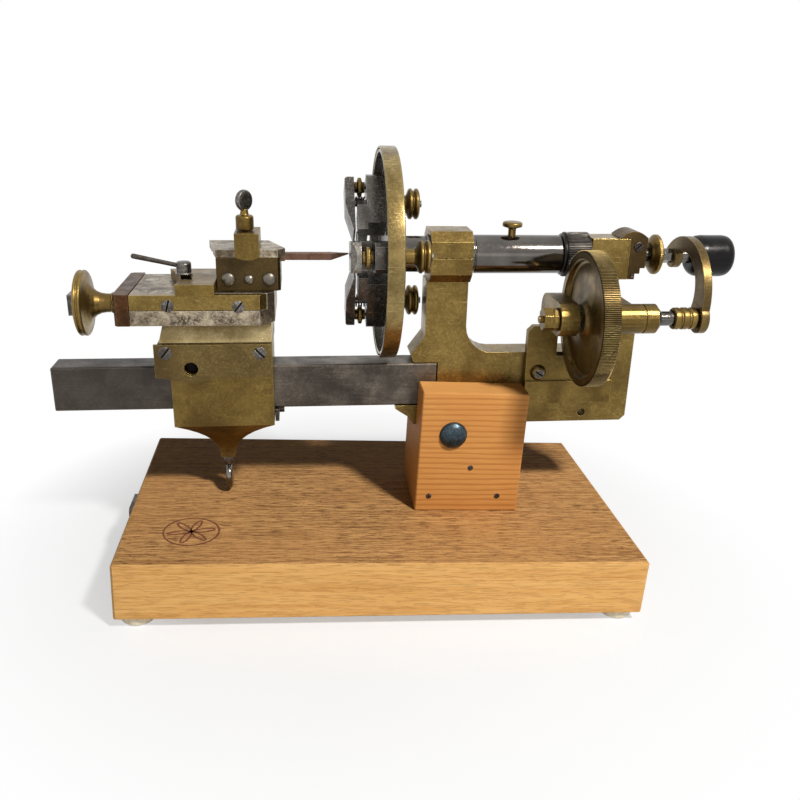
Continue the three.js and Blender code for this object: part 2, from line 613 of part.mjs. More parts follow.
const handle = () => {
  const rim = grip.radius - grip.neck_radius;
  return cut(
    turnedOf('x', [
      [grip.left, 0], [grip.left, grip.neck_radius],
      [grip.left + grip.lip, grip.neck_radius + rim * grip.lip_share],
      [grip.left + grip.end_round, grip.radius], [gripRight - grip.end_round, grip.radius],
      [gripRight - grip.lip, grip.neck_radius + rim * grip.lip_share],
      [gripRight, grip.neck_radius], [gripRight, 0],
    ], gripCentre),
    rodOf('x', grip.left - overrun, gripRight + overrun, pin.radius + turning_gap, gripCentre, small_sides),
  );
};

addPiece(lathe, 'gear_wheel', gearWheel(), 'brass');
addPiece(lathe, 'crank_shaft', crankShaft(), 'steel');
addPiece(lathe, 'crank_collar', crankCollar(), 'brass');
addPiece(lathe, 'crank_arm', crankArm(), 'brass');
addPiece(lathe, 'handle_pin', handlePin(), 'steel');
addPiece(lathe, 'handle', handle(), 'ebony');

// Mandrel, faceplate and pump centre
const mandrelTube = () => cut(
  turnedOf('x', [
    [mandrel.left, 0], [mandrel.left, mandrel.neck_radius], [mandrel.neck_right, mandrel.neck_radius],
    [mandrel.neck_right, mandrel.radius], [mandrel.tube_right, mandrel.radius],
    [mandrel.tube_right, mandrel.core_radius], [mandrel.core_right, mandrel.core_radius],
    [mandrel.core_right, mandrel.tail_radius], [mandrel.right, mandrel.tail_radius], [mandrel.right, 0],
  ]),
  rodOf('x', mandrel.left - overrun, mandrel.right + overrun, runner.radius + turning_gap, [0, 0], small_sides),
  rodOf('z', 0, lock.head_bottom, lock.radius + turning_gap, [lock.x, 0], small_sides),
);

const dogTurn = (index) => THREE.MathUtils.degToRad(dog.turns[index]);
const turnedDog = (solid, index) => moved(solid, new THREE.Matrix4().makeRotationX(dogTurn(index)));
const dishRadius = face.radius - face.band - seat_gap;

const faceplate = () => {
  const slot = blockOf(face.recess - overrun, face.thickness + overrun, -face.slot_half, face.slot_half,
    face.slot_in, face.slot_out);
  return cut(
    turnedOf('x', [
      [face.recess, 0], [face.recess, dishRadius - face.wall], [seat_gap, dishRadius - face.wall],
      [seat_gap, dishRadius], [face.thickness, dishRadius], [face.thickness, 0],
    ], [0, 0], face.sides),
    rodOf('x', 0, face.thickness + overrun, runner.radius + turning_gap, [0, 0], small_sides),
    ...dog.turns.map((_, index) => turnedDog(slot, index)),
  );
};

const faceplateBand = () => cut(
  turnedOf('x', [
    [0, 0], [0, face.radius - face.edge], [face.edge, face.radius], [face.thickness - face.edge, face.radius],
    [face.thickness, face.radius - face.edge], [face.thickness, 0],
  ], [0, 0], face.sides),
  rodOf('x', -overrun, face.thickness + overrun, face.radius - face.band, [0, 0], face.sides),
);

const lockScrew = () => turnedOf('z', [
  [lock.bottom, 0], [lock.bottom, lock.radius], [lock.head_bottom, lock.radius], [lock.head_bottom, lock.head_radius],
  [lock.head_top, lock.head_radius], [lock.head_top, 0],
], [lock.x, 0], small_sides);

const centreRod = () => turnedOf('x', [
  [runner.left, 0], [runner.left, runner.tip_radius], [runner.left + runner.cone, runner.radius],
  [runner.right, runner.radius], [runner.right, 0],
], [0, 0], small_sides);

const centreKnob = () => cut(
  turnedOf('x', [
    [knob.left, 0], [knob.left, knob.small_radius], [knob.left + knob.cone, knob.radius],
    [knob.right - knob.edge, knob.radius], [knob.right, knob.radius - knob.edge], [knob.right, 0],
  ]),
  rodOf('x', knob.left - overrun, runner.right + seat_gap, runner.radius + seat_gap, [0, 0], small_sides),
);

addPiece(lathe, 'mandrel_tube', mandrelTube(), 'steel');
addPiece(lathe, 'faceplate', faceplate(), 'steel');
addPiece(lathe, 'faceplate_band', faceplateBand(), 'brass');
addPiece(lathe, 'pinion', pinionWheel(), 'steel');
addPiece(lathe, 'lock_screw', lockScrew(), 'brass');
addPiece(lathe, 'work_disc', rodOf('x', work.left, work.right, work.radius, [0, 0]), 'steel');
addPiece(lathe, 'centre_rod', centreRod(), 'steel');
addPiece(lathe, 'centre_knob', centreKnob(), 'brass');

// Dogs, each drawn with its radial line along Z and then turned round the spindle
const dogBase = () => {
  const side = [
    [dog.base_thick_left, dog.inner], [dog.rise_from, dog.inner], [dog.rise_from, dog.inner + dog.inner_rise],
    [dog.base_right, dog.inner + dog.inner_rise], [dog.base_right, dog.outer], [dog.base_left, dog.outer],
    [dog.base_left, dog.step_at], [dog.base_thick_left, dog.step_at],
  ];
  const plan = [
    [-dog.half_width, dog.inner - overrun], [dog.half_width, dog.inner - overrun],
    [dog.half_width, dog.outer - dog.base_corner], [dog.half_width - dog.base_corner, dog.outer],
    [dog.base_corner - dog.half_width, dog.outer], [-dog.half_width, dog.outer - dog.base_corner],
  ];
  const body = prismOf('xz', side, -dog.half_width, dog.half_width)
    .intersect(prismOf('yz', plan, dog.finger_left, face.thickness));
  return cut(
    joined(
      body,
      blockOf(dog.base_right - overrun, dog.tongue_right, -dog.tongue_half, dog.tongue_half, dog.tongue_in, dog.tongue_out),
      rodOf('x', jack.pin_left, 0, jack.pin_radius, [0, jack.at], small_sides / 2),
    ),
    rodOf('x', dog.base_left - overrun, face.thickness + overrun, stud.radius + turning_gap, [0, stud.at], small_sides),
  );
};

const dogFinger = () => {
  const side = [
    [dog.finger_right - dog.tip, dog.inner], [dog.finger_right, dog.inner], [dog.finger_right, dog.outer],
    [dog.finger_left + dog.nose_depth, dog.outer], [dog.finger_left, dog.outer - dog.nose],
    [dog.finger_left, dog.taper_from],
  ];
  const arc = circlePoints(0, dog.outer - dog.half_width - dog.corner, dog.half_width + dog.corner, 9,
    Math.PI / 4, right_angle);
  const plan = [
    [-dog.half_width, dog.inner - overrun], [dog.half_width, dog.inner - overrun], ...arc,
  ];
  return joined(
    prismOf('xz', side, -dog.half_width, dog.half_width)
      .intersect(prismOf('yz', plan, dog.finger_left - overrun, dog.finger_right + overrun)),
    rodOf('x', dog.finger_right - seat_gap, stud.right, stud.radius, [0, stud.at], small_sides),
  );
};

const jackNut = () => cut(
  turnedOf('x', [
    [jack.left, 0], [jack.left, jack.edge_radius], [(jack.left + jack.right) / 2, jack.radius],
    [jack.right, jack.edge_radius], [jack.right, 0],
  ], [0, jack.at], small_sides),
  rodOf('x', jack.left - overrun, jack.right + overrun, jack.bore, [0, jack.at], small_sides / 2),
);

const backNut = () => {
  const bead = (left) => [
    [left, back_nut.waist_radius], [left + back_nut.edge, back_nut.bead_radius],
    [left + back_nut.bead_width - back_nut.edge, back_nut.bead_radius],
    [left + back_nut.bead_width, back_nut.waist_radius],
  ];
  const right = back_nut.neck_right + 2 * back_nut.bead_width;
  return cut(
    turnedOf('x', [
      [back_nut.left, 0], [back_nut.left, back_nut.neck_radius], [back_nut.neck_right, back_nut.neck_radius],
      ...bead(back_nut.neck_right), ...bead(back_nut.neck_right + back_nut.bead_width).slice(1), [right, 0],
    ], [0, stud.at], small_sides),
    rodOf('x', back_nut.left - overrun, right + overrun, back_nut.bore, [0, stud.at], small_sides),
  );
};

// Coil spring: a round wire on a helix round the stud, closed at both ends
const coilSpring = () => {
  const start = dog.finger_right + seat_gap + coil.wire;
  const end = dog.base_left - seat_gap - coil.wire;
  const rings = Math.round(coil.turns * coil.steps);
  const places = Array.from({ length: rings + 1 }, (_, i) => {
    const angle = (i / coil.steps) * full_turn;
    return new THREE.Vector3(
      start + ((end - start) * i) / rings,
      coil.radius * Math.cos(angle),
      stud.at + coil.radius * Math.sin(angle),
    );
  });
  const points = places.flatMap((place, i) => {
    const angle = (i / coil.steps) * full_turn;
    const out = new THREE.Vector3(0, Math.cos(angle), Math.sin(angle));
    return Array.from({ length: coil.sides }, (_, k) => {
      const around = (k / coil.sides) * full_turn;
      return place.clone()
        .addScaledVector(out, coil.wire * Math.cos(around))
        .addScaledVector(X, coil.wire * Math.sin(around));
    });
  });
  const geometry = new THREE.BufferGeometry().setFromPoints(points);
  const faces = [];
  for (let i = 0; i < rings; i += 1) {
    for (let k = 0; k < coil.sides; k += 1) {
      const a = i * coil.sides + k;
      const b = i * coil.sides + ((k + 1) % coil.sides);
      faces.push(a, a + coil.sides, b, b, a + coil.sides, b + coil.sides);
    }
  }
  for (let k = 1; k < coil.sides - 1; k += 1) {
    faces.push(0, k, k + 1);
    const last = rings * coil.sides;
    faces.push(last, last + k + 1, last + k);
  }
  geometry.setIndex(faces);
  const near = coil.steps / 2;
  let least = Infinity;
  places.forEach((a, i) => places.slice(i + near).forEach((b) => {
    least = Math.min(least, a.distanceTo(b) - 2 * coil.wire);
  }));
  console.log(`least gap of a spring's wire to itself ${least.toFixed(2)} mm`);
  return toSolid(geometry);
};

const spring = coilSpring();
dog.names.forEach((name, index) => {
  const carrier = new THREE.Group();
  carrier.name = `dog_${name}`;
  carrier.rotation.x = dogTurn(index);
  lathe.add(carrier);
  addPiece(carrier, `dog_${name}_base`, dogBase(), 'steel');
  addPiece(carrier, `dog_${name}_finger`, dogFinger(), 'steel');
  addPiece(carrier, `dog_${name}_spring`, spring, 'steel');
  addPiece(carrier, `dog_${name}_jack_nut`, jackNut(), 'brass');
  addPiece(carrier, `dog_${name}_back_nut`, backNut(), 'brass');
});

// Saddle on the bar
const barRoom = () => blockOf(
  saddle.deck_left - overrun, saddle.right + overrun, -half_bar - turning_gap, half_bar + turning_gap,
  bar.top - bar.height - turning_gap, bar.top + turning_gap,
);

// Closed solid through a row of rectangles, each given as [z, x0, x1, y0, y1] from the top down
const stackOf = (rows) => {
  const points = rows.flatMap(([z, x0, x1, y0, y1]) => [[x0, y0, z], [x1, y0, z], [x1, y1, z], [x0, y1, z]])
    .map((p) => new THREE.Vector3(...p));
  const faces = [];
  rows.slice(1).forEach((_, i) => {
    for (let k = 0; k < 4; k += 1) {
      const a = i * 4 + k;
      const b = i * 4 + ((k + 1) % 4);
      faces.push(a, a + 4, b, b, a + 4, b + 4);
    }
  });
  const last = (rows.length - 1) * 4;
  faces.push(0, 1, 2, 0, 2, 3, last, last + 2, last + 1, last, last + 3, last + 2);
  return toSolid(new THREE.BufferGeometry().setFromPoints(points).setIndex(faces));
};

const saddleFoot = () => {
  const rows = Array.from({ length: saddle_foot.steps }, (_, i) => {
    const share = i / (saddle_foot.steps - 1);
    const shrink = (1 - share) ** saddle_foot.curve;
    const wide = (edge, centre, neck) => centre + neck + (edge - centre - neck) * shrink;
    return [
      saddle.bottom - saddle_foot.height * share,
      wide(saddle.left, saddle_foot.middle_x, -saddle_foot.neck_half),
      wide(saddle.right, saddle_foot.middle_x, saddle_foot.neck_half),
      wide(-saddle.half_depth, 0, -saddle_foot.neck_half), wide(saddle.half_depth, 0, saddle_foot.neck_half),
    ];
  });
  return stackOf(rows);
};

const saddleBlock = () => cut(
  joined(
    blockOf(saddle.left, saddle.right, -saddle.half_depth, saddle.half_depth, saddle.bottom, saddle.top),
    blockOf(saddle.deck_left, saddle.right, -saddle.half_depth, saddle.deck_back, saddle.top - saddle.deck_depth, saddle.top),
    saddleFoot(),
  ),
  barRoom(),
  rodOf('y', -saddle.half_depth - overrun, front_plate.hole_depth - saddle.half_depth, front_plate.hole_radius,
    [front_plate.bulge_x, front_plate.hole_z], small_sides),
  rodOf('z', saddle.bottom - saddle_foot.height - overrun, bar.top - bar.height, saddle_foot.bore,
    [saddle_foot.middle_x, 0], small_sides),
);

const saddleScrew = () => {
  const headTop = foot_screw.bottom + foot_screw.head_height;
  const middle = [0, (headTop + foot_screw.bottom) / 2];
  const oval = circlePoints(0, 0, 1, middle_sides).map(([a, b]) =>
    [middle[0] + a * foot_screw.head_half, middle[1] + (b * foot_screw.head_height) / 2]);
  const left = saddle_foot.middle_x - foot_screw.head_half_thickness;
  const collarTop = saddle.bottom - saddle_foot.height - seat_gap;
  return joined(
    prismOf('yz', oval, left, saddle_foot.middle_x + foot_screw.head_half_thickness),
    rodOf('z', headTop - foot_screw.radius, foot_screw.top, foot_screw.radius, [saddle_foot.middle_x, 0], small_sides),
    rodOf('z', collarTop - foot_screw.collar_length, collarTop, foot_screw.collar_radius, [saddle_foot.middle_x, 0],
      small_sides),
  );
};

const frontPlate = () => {
  const back = -saddle.half_depth - seat_gap;
  const low = saddle.top - front_plate.drop;
  const bulge = Array.from({ length: 9 }, (_, i) => {
    const share = -1 + i / 4;
    return [front_plate.bulge_x + front_plate.bulge_half * share, low - front_plate.bulge * (1 - share * share)];
  });
  return cut(
    prismOf('xz', [
      [front_plate.left, saddle.top], [front_plate.left, low], ...bulge, [front_plate.right, low],
      [front_plate.right, saddle.top],
    ], back - front_plate.thickness, back),
    rodOf('y', back - front_plate.thickness - overrun, back + overrun, front_plate.hole_radius,
      [front_plate.bulge_x, front_plate.hole_z], small_sides),
  );
};

const saddleGib = () => {
  const left = saddle.right + seat_gap;
  return joined(
    blockOf(left, left + gib.thickness, -gib.half_depth, gib.half_depth, gib.bottom, gib.top),
    rodOf('x', left, left + gib.thickness + gib.screw_length, gib.screw_radius, [0, gib.z], small_sides),
  );
};

addPiece(lathe, 'saddle_block', saddleBlock(), 'brass');
addPiece(lathe, 'saddle_front_plate', frontPlate(), 'brass');
addPiece(lathe, 'saddle_clamp_screw', saddleScrew(), 'steel');
addPiece(lathe, 'saddle_gib', saddleGib(), 'steel');

// Cross slide and the bed of the top slide
const crossBottom = saddle.top + seat_gap;
const crossSlide = () => prismOf('yz', [
  [cross.front, crossBottom], [cross.back, crossBottom], [cross.back, cross.top],
  [cross.front + cross.bevel, cross.top],
], cross.left, cross.right).intersect(prismOf('xz', [
  [cross.left, crossBottom], [cross.right, crossBottom], [cross.right, cross.top],
  [cross.left + cross.side_bevel, cross.top],
], cross.front - overrun, cross.back + overrun));

const bedPlan = () => [
  [slide.left, slide.front], [slide.right - slide.chamfer_x, slide.front],
  [slide.right, slide.front + slide.chamfer_y], [slide.right, slide.front + slide.depth],
  [slide.left, slide.front + slide.depth],
];

const stripZone = (gap) => blockOf(slide.left - overrun, slide.right + overrun, slide.front - overrun,
  slide.front + slide.strip_depth + gap, slide.top - slide.strip_height - gap, slide.top + overrun);

const leadCentre = [lead.y, lead.z];
const slideBed = () => cut(
  prismOf('xy', bedPlan(), slide.bottom, slide.top),
  stripZone(seat_gap),
  blockOf(slide.channel_left, slide.right - slide.end_wall, lead.y - slide.channel_width / 2,
    lead.y + slide.channel_width / 2, slide.top - slide.channel_depth, slide.top + overrun),
  rodOf('x', slide.left - overrun, lead.right + seat_gap, lead.radius + turning_gap, leadCentre, small_sides),
);

const slideStrip = () => prismOf('xy', bedPlan(), slide.bottom, slide.top).intersect(stripZone(0));

const endBlock = () => cut(
  prismOf('xy', [
    [end_block.left, end_block.front + end_block.corner], [end_block.left + end_block.corner, end_block.front],
    [slide.left - seat_gap, end_block.front], [slide.left - seat_gap, end_block.back],
    [end_block.left + end_block.corner, end_block.back], [end_block.left, end_block.back - end_block.corner],
  ], end_block.bottom, end_block.top),
  rodOf('x', end_block.left - overrun, slide.left + overrun, lead.radius + turning_gap, leadCentre, small_sides),
);

const leadScrew = () => rodOf('x', lead.left, lead.right, lead.radius, leadCentre, small_sides);

const handwheel = () => {
  const bead = (left) => [
    [left, wheel.waist], [left + wheel.edge, wheel.radius], [left + wheel.bead - wheel.edge, wheel.radius],
    [left + wheel.bead, wheel.waist],
  ];
  const right = wheel.left + 2 * wheel.bead;
  const hub = wheel.hub_shares.map(([along, out]) =>
    [right + (wheel.collar_left - right) * along, wheel.radius * out]);
  return cut(
    joined(
      turnedOf('x', [
        [wheel.left, 0], ...bead(wheel.left), ...bead(wheel.left + wheel.bead).slice(1), ...hub,
        [wheel.collar_left - wheel.collar_neck, wheel.hub_radius], [wheel.collar_left, wheel.collar_radius],
        [wheel.collar_right, wheel.collar_radius], [wheel.collar_right, 0],
      ], leadCentre, wide_sides),
      rodOf('x', wheel.nut_left, wheel.left + seat_gap, wheel.nut_radius, leadCentre, 4, Math.PI / 4),
    ),
    rodOf('x', lead.left - seat_gap, wheel.collar_right + overrun, lead.radius + seat_gap, leadCentre, small_sides),
  );
};

addPiece(lathe, 'cross_slide', crossSlide(), 'brass');
addPiece(lathe, 'slide_bed', slideBed(), 'steel');
addPiece(lathe, 'slide_strip', slideStrip(), 'brass');
addPiece(lathe, 'slide_end_block', endBlock(), 'copper');
addPiece(lathe, 'lead_screw', leadScrew(), 'steel');
addPiece(lathe, 'handwheel', handwheel(), 'brass');

// Carriage, with its nut on the lead screw and a tongue under the tool block
const carriagePlate = () => {
  const notch = Array.from({ length: 7 }, (_, i) => {
    const share = i / 6;
    return [
      carriage.left + (carriage.left_back - carriage.left) * share + carriage.notch * Math.sin(Math.PI * share),
      carriage.front + (carriage.back - carriage.front) * share,
    ];
  }).reverse();
  const plan = [[carriage.right, carriage.front], [carriage.right, carriage.back], ...notch];
  const slot = [
    [carriage.slot_x - carriage.slot_half, carriage.slot_front], [carriage.slot_x + carriage.slot_half, carriage.slot_front],
    [carriage.slot_back_x + carriage.slot_half, carriage.slot_back],
    [carriage.slot_back_x - carriage.slot_half, carriage.slot_back],
  ];
  return cut(
    joined(
      cut(
        prismOf('xy', plan, carriage.bottom, carriage.top),
        prismOf('xy', slot, carriage.bottom - overrun, carriage.top + overrun),
      ),
      blockOf(carriage.right - seat_gap, carriage.tongue_right, carriage.tongue_front, carriage.tongue_back,
        carriage.bottom, carriage.tongue_top),
      blockOf(carriage.nut_left, carriage.right, lead.y - carriage.nut_half, lead.y + carriage.nut_half,
        carriage.nut_bottom, carriage.bottom + seat_gap),
    ),
    rodOf('x', carriage.nut_left - overrun, carriage.right + overrun, lead.radius + turning_gap, leadCentre, small_sides),
  );
};

const rodBetween = (from, to, radius, sides) => {
  const start = new THREE.Vector3(...from);
  const along = new THREE.Vector3(...to).sub(start);
  const turn = new THREE.Quaternion().setFromUnitVectors(X, along.clone().normalize());
  return moved(rodOf('x', 0, along.length(), radius, [0, 0], sides),
    new THREE.Matrix4().compose(start, turn, new THREE.Vector3(1, 1, 1)));
};

const clampLever = () => {
  const washerBottom = carriage.top + seat_gap;
  const ballShares = [[-1, 0], [-0.7, 0.7], [0, 1], [0.7, 0.7], [1, 0]];
  return joined(
    turnedOf('z', [
      [carriage.bottom + seat_gap, 0], [carriage.bottom + seat_gap, clamp.stud], [washerBottom, clamp.stud],
      [washerBottom, clamp.washer_radius], [clamp.bottom, clamp.washer_radius], [clamp.bottom, clamp.radius],
      [clamp.top - clamp.dome, clamp.radius], [clamp.top, clamp.radius - clamp.dome], [clamp.top, 0],
    ], [clamp.x, clamp.y], small_sides),
    rodBetween([lever.right, clamp.y, lever.right_z], [lever.left, clamp.y, lever.left_z], lever.radius, small_sides / 2),
    turnedOf('z', ballShares.map(([along, out]) => [lever.right_z + lever.ball * along, lever.ball * out]),
      [lever.right, clamp.y], small_sides / 2),
  );
};

// Tool block with a groove on top for the tool, and a housing below for the carriage's tongue
const toolRoom = (from, to) => blockOf(from, to, -tool.half - seat_gap, tool.half + seat_gap,
  tool.z - tool.half - seat_gap, tool.z + tool.half + seat_gap);

const toolBlock = () => cut(
  prismOf('xy', [
    [tool_block.left, tool_block.front], [tool_block.right - tool_block.corner, tool_block.front],
    [tool_block.right, tool_block.front + tool_block.corner], [tool_block.right, tool_block.back],
    [tool_block.left, tool_block.back],
  ], tool_block.bottom, tool_block.top),
  toolRoom(tool_block.left - overrun, tool_block.right + overrun),
  blockOf(tool_block.left - overrun, carriage.tongue_right + seat_gap, carriage.tongue_front - seat_gap,
    carriage.tongue_back + seat_gap, tool_block.bottom - overrun, carriage.tongue_top + seat_gap),
);

const toolPlate = () => cut(
  prismOf('xy', [
    [tool_plate.left, tool_plate.front], [tool_plate.right - tool_plate.corner_x, tool_plate.front],
    [tool_plate.right, tool_plate.front + tool_plate.corner_y],
    [tool_plate.right - tool_plate.skew - tool_plate.corner_x, tool_plate.back],
    [tool_plate.left - tool_plate.skew, tool_plate.back],
  ], tool_plate.bottom, tool_plate.top),
  toolRoom(tool_plate.left - tool_plate.skew - overrun, tool_plate.right + overrun),
);

const clampColumn = () => {
  const legBack = tool_plate.front - seat_gap;
  const arc = Array.from({ length: 7 }, (_, i) => {
    const share = -1 + i / 3;
    const middle = (column.left + column.right) / 2;
    return [
      middle + ((column.right - column.left) / 2) * share,
      column.foot + column.arc_rise * share * share,
    ];
  });
  return cut(
    joined(
      prismOf('xz', [...arc, [column.right, column.top], [column.left, column.top]], column.front, legBack),
      blockOf(column.left, column.right, legBack - seat_gap, column.back, tool_plate.top + seat_gap, column.top),
    ),
    rodOf('z', tool_plate.top, column.top + overrun, tool_screw.radius + turning_gap, [tool_screw.x, tool_screw.y],
      small_sides),
  );
};

const toolScrew = () => {
  const at = [tool_screw.x, tool_screw.y];
  const collarBottom = column.top + seat_gap;
  const headBottom = tool_screw.neck_top - tool_screw.edge;
  const half = (tool_screw.top - headBottom) / 2;
  const oval = circlePoints(0, 0, 1, middle_sides).map(([a, b]) =>
    [a * tool_screw.head_half, headBottom + half + b * half]);
  const head = moved(
    moved(
      prismOf('xz', oval, -tool_screw.head_half_thickness, tool_screw.head_half_thickness),
      new THREE.Matrix4().makeRotationZ(THREE.MathUtils.degToRad(tool_screw.turn)),
    ),
    new THREE.Matrix4().makeTranslation(at[0], at[1], 0),
  );
  return joined(
    turnedOf('z', [
      [tool_plate.top + seat_gap, 0], [tool_plate.top + seat_gap, tool_screw.radius], [collarBottom, tool_screw.radius],
      [collarBottom, tool_screw.collar_radius - tool_screw.edge],
      [collarBottom + tool_screw.edge, tool_screw.collar_radius],
      [tool_screw.collar_top - tool_screw.edge, tool_screw.collar_radius],
      [tool_screw.collar_top, tool_screw.collar_radius - tool_screw.edge], [tool_screw.collar_top, tool_screw.radius],
      [headBottom + tool_screw.radius, tool_screw.radius], [headBottom + tool_screw.radius, 0],
    ], at, small_sides),
    head,
  );
};

const toolBar = () => {
  const section = (half) => [[-half, tool.z - half], [half, tool.z - half], [half, tool.z + half], [-half, tool.z + half]];
  const nose = stackOf([
    [tool.nose_from, -tool.nose_half, tool.nose_half, -tool.nose_half, tool.nose_half],
    [tool.tip, -tool.tip_half, tool.tip_half, -tool.tip_half, tool.tip_half],
  ].map(([z, x0, x1, y0, y1]) => [-z, x0, x1, y0, y1]));
  // The nose is drawn standing and then laid along the bar, with its tip raised to the axis
  const lay = new THREE.Matrix4().makeBasis(Z, Y, minus(X));
  const slope = (tool.tip_z - tool.z) / (tool.tip - tool.nose_from);
  const lift = new THREE.Matrix4().set(1, 0, 0, 0, 0, 1, 0, 0, slope, 0, 1, tool.z - slope * tool.nose_from, 0, 0, 0, 1);
  return joined(
    prismOf('yz', section(tool.half), tool.left, tool.shoulder),
    prismOf('yz', section(tool.nose_half), tool.shoulder - seat_gap, tool.nose_from),
    moved(moved(nose, lay), lift),
  );
};

addPiece(lathe, 'carriage_plate', carriagePlate(), 'brass');
addPiece(lathe, 'clamp_lever', clampLever(), 'steel');
addPiece(lathe, 'tool_block', toolBlock(), 'brass');
addPiece(lathe, 'tool_plate', toolPlate(), 'steel');
addPiece(lathe, 'clamp_column', clampColumn(), 'brass');
addPiece(lathe, 'tool_thumb_screw', toolScrew(), 'steel');
addPiece(lathe, 'tool_bar', toolBar(), 'steel');

// The part's origin is in the middle of its footprint, on the surface that its feet stand on
root.updateMatrixWorld(true);
const extent = new THREE.Box3().setFromObject(root, true);
const middle = extent.getCenter(new THREE.Vector3());
stand.position.set(-middle.x, -middle.y, -extent.min.z);
lathe.position.add(stand.position);

export default root;
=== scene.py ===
import math
import random

import bpy
import numpy as np
from mathutils import Matrix, Vector


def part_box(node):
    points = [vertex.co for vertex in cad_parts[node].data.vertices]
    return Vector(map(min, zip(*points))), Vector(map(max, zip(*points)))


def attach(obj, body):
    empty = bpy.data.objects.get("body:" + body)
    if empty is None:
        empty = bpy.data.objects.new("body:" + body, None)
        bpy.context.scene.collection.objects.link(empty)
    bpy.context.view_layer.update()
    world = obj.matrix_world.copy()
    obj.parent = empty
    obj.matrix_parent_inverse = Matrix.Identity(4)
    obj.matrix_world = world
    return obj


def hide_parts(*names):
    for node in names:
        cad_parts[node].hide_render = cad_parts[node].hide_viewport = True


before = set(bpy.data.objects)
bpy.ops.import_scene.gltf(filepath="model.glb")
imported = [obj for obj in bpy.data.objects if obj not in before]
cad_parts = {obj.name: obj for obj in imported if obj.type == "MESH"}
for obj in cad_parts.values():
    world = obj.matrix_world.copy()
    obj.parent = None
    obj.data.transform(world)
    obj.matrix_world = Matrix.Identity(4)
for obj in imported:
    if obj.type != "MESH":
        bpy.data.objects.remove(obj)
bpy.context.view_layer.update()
MM = 0.001
rng = random.Random(7)

# Frames: the stand uses the board's front left lower corner, the lathe its spindle axis
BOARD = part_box("base_board")[0]
BOARD_TOP = 25.4
BLOCK_FRONT = 46
TILT = math.radians(2.25)
HALF_BAND = 3.5
lean = Matrix.Rotation(-TILT, 4, "Y")
band_lo, band_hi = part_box("faceplate_band")
ORIGIN = (band_lo + band_hi) / 2 - lean.to_3x3() @ Vector((HALF_BAND * MM, 0, 0))
LATHE = Matrix.Translation(ORIGIN) @ lean
STAND = Matrix.Translation(BOARD)

# Gear train: the crank shaft's place across the spindle, and the circles of the two wheels
SHAFT = (-31.1, -21.4)
GEAR_TEETH, PINION_TEETH = 240, 81
ADDENDUM, DEDENDUM = 1.2, 1.5
MODULE = 2 * math.hypot(*SHAFT) / (GEAR_TEETH + PINION_TEETH)
GEAR_TIP, GEAR_ROOT = [MODULE * (GEAR_TEETH / 2 + step) for step in (ADDENDUM, -DEDENDUM)]
PINION_TIP, PINION_ROOT = [MODULE * (PINION_TEETH / 2 + step) for step in (ADDENDUM, -DEDENDUM)]


# Camera, fitted to the straight edges of the photo
YAW, PITCH, ROLL = 0.137, 0.356, 0.067
LENS = 37.41
CAMERA_PLACE = (69.918, -291.314, 206.373)


def place_camera():
    ahead = Vector((math.sin(YAW) * math.cos(PITCH), math.cos(YAW) * math.cos(PITCH), -math.sin(PITCH)))
    level = Vector((math.cos(YAW), -math.sin(YAW), 0))
    upright = level.cross(ahead)
    right = math.cos(ROLL) * level + math.sin(ROLL) * upright
    up = -math.sin(ROLL) * level + math.cos(ROLL) * upright
    camera = bpy.data.objects.new("camera", bpy.data.cameras.new("camera"))
    camera.data.sensor_width = 36
    camera.data.lens = LENS
    camera.data.clip_start = 0.01
    place = Matrix((right, up, -ahead)).transposed().to_4x4()
    place.translation = BOARD + Vector(CAMERA_PLACE) * MM
    camera.matrix_world = place
    bpy.context.scene.collection.objects.link(camera)
    bpy.context.scene.camera = camera


place_camera()


# Node helpers
def srgb(r, g, b):
    lin = [(c / 255 / 12.92) if c <= 10 else ((c / 255 + 0.055) / 1.055) ** 2.4 for c in (r, g, b)]
    return (*lin, 1.0)


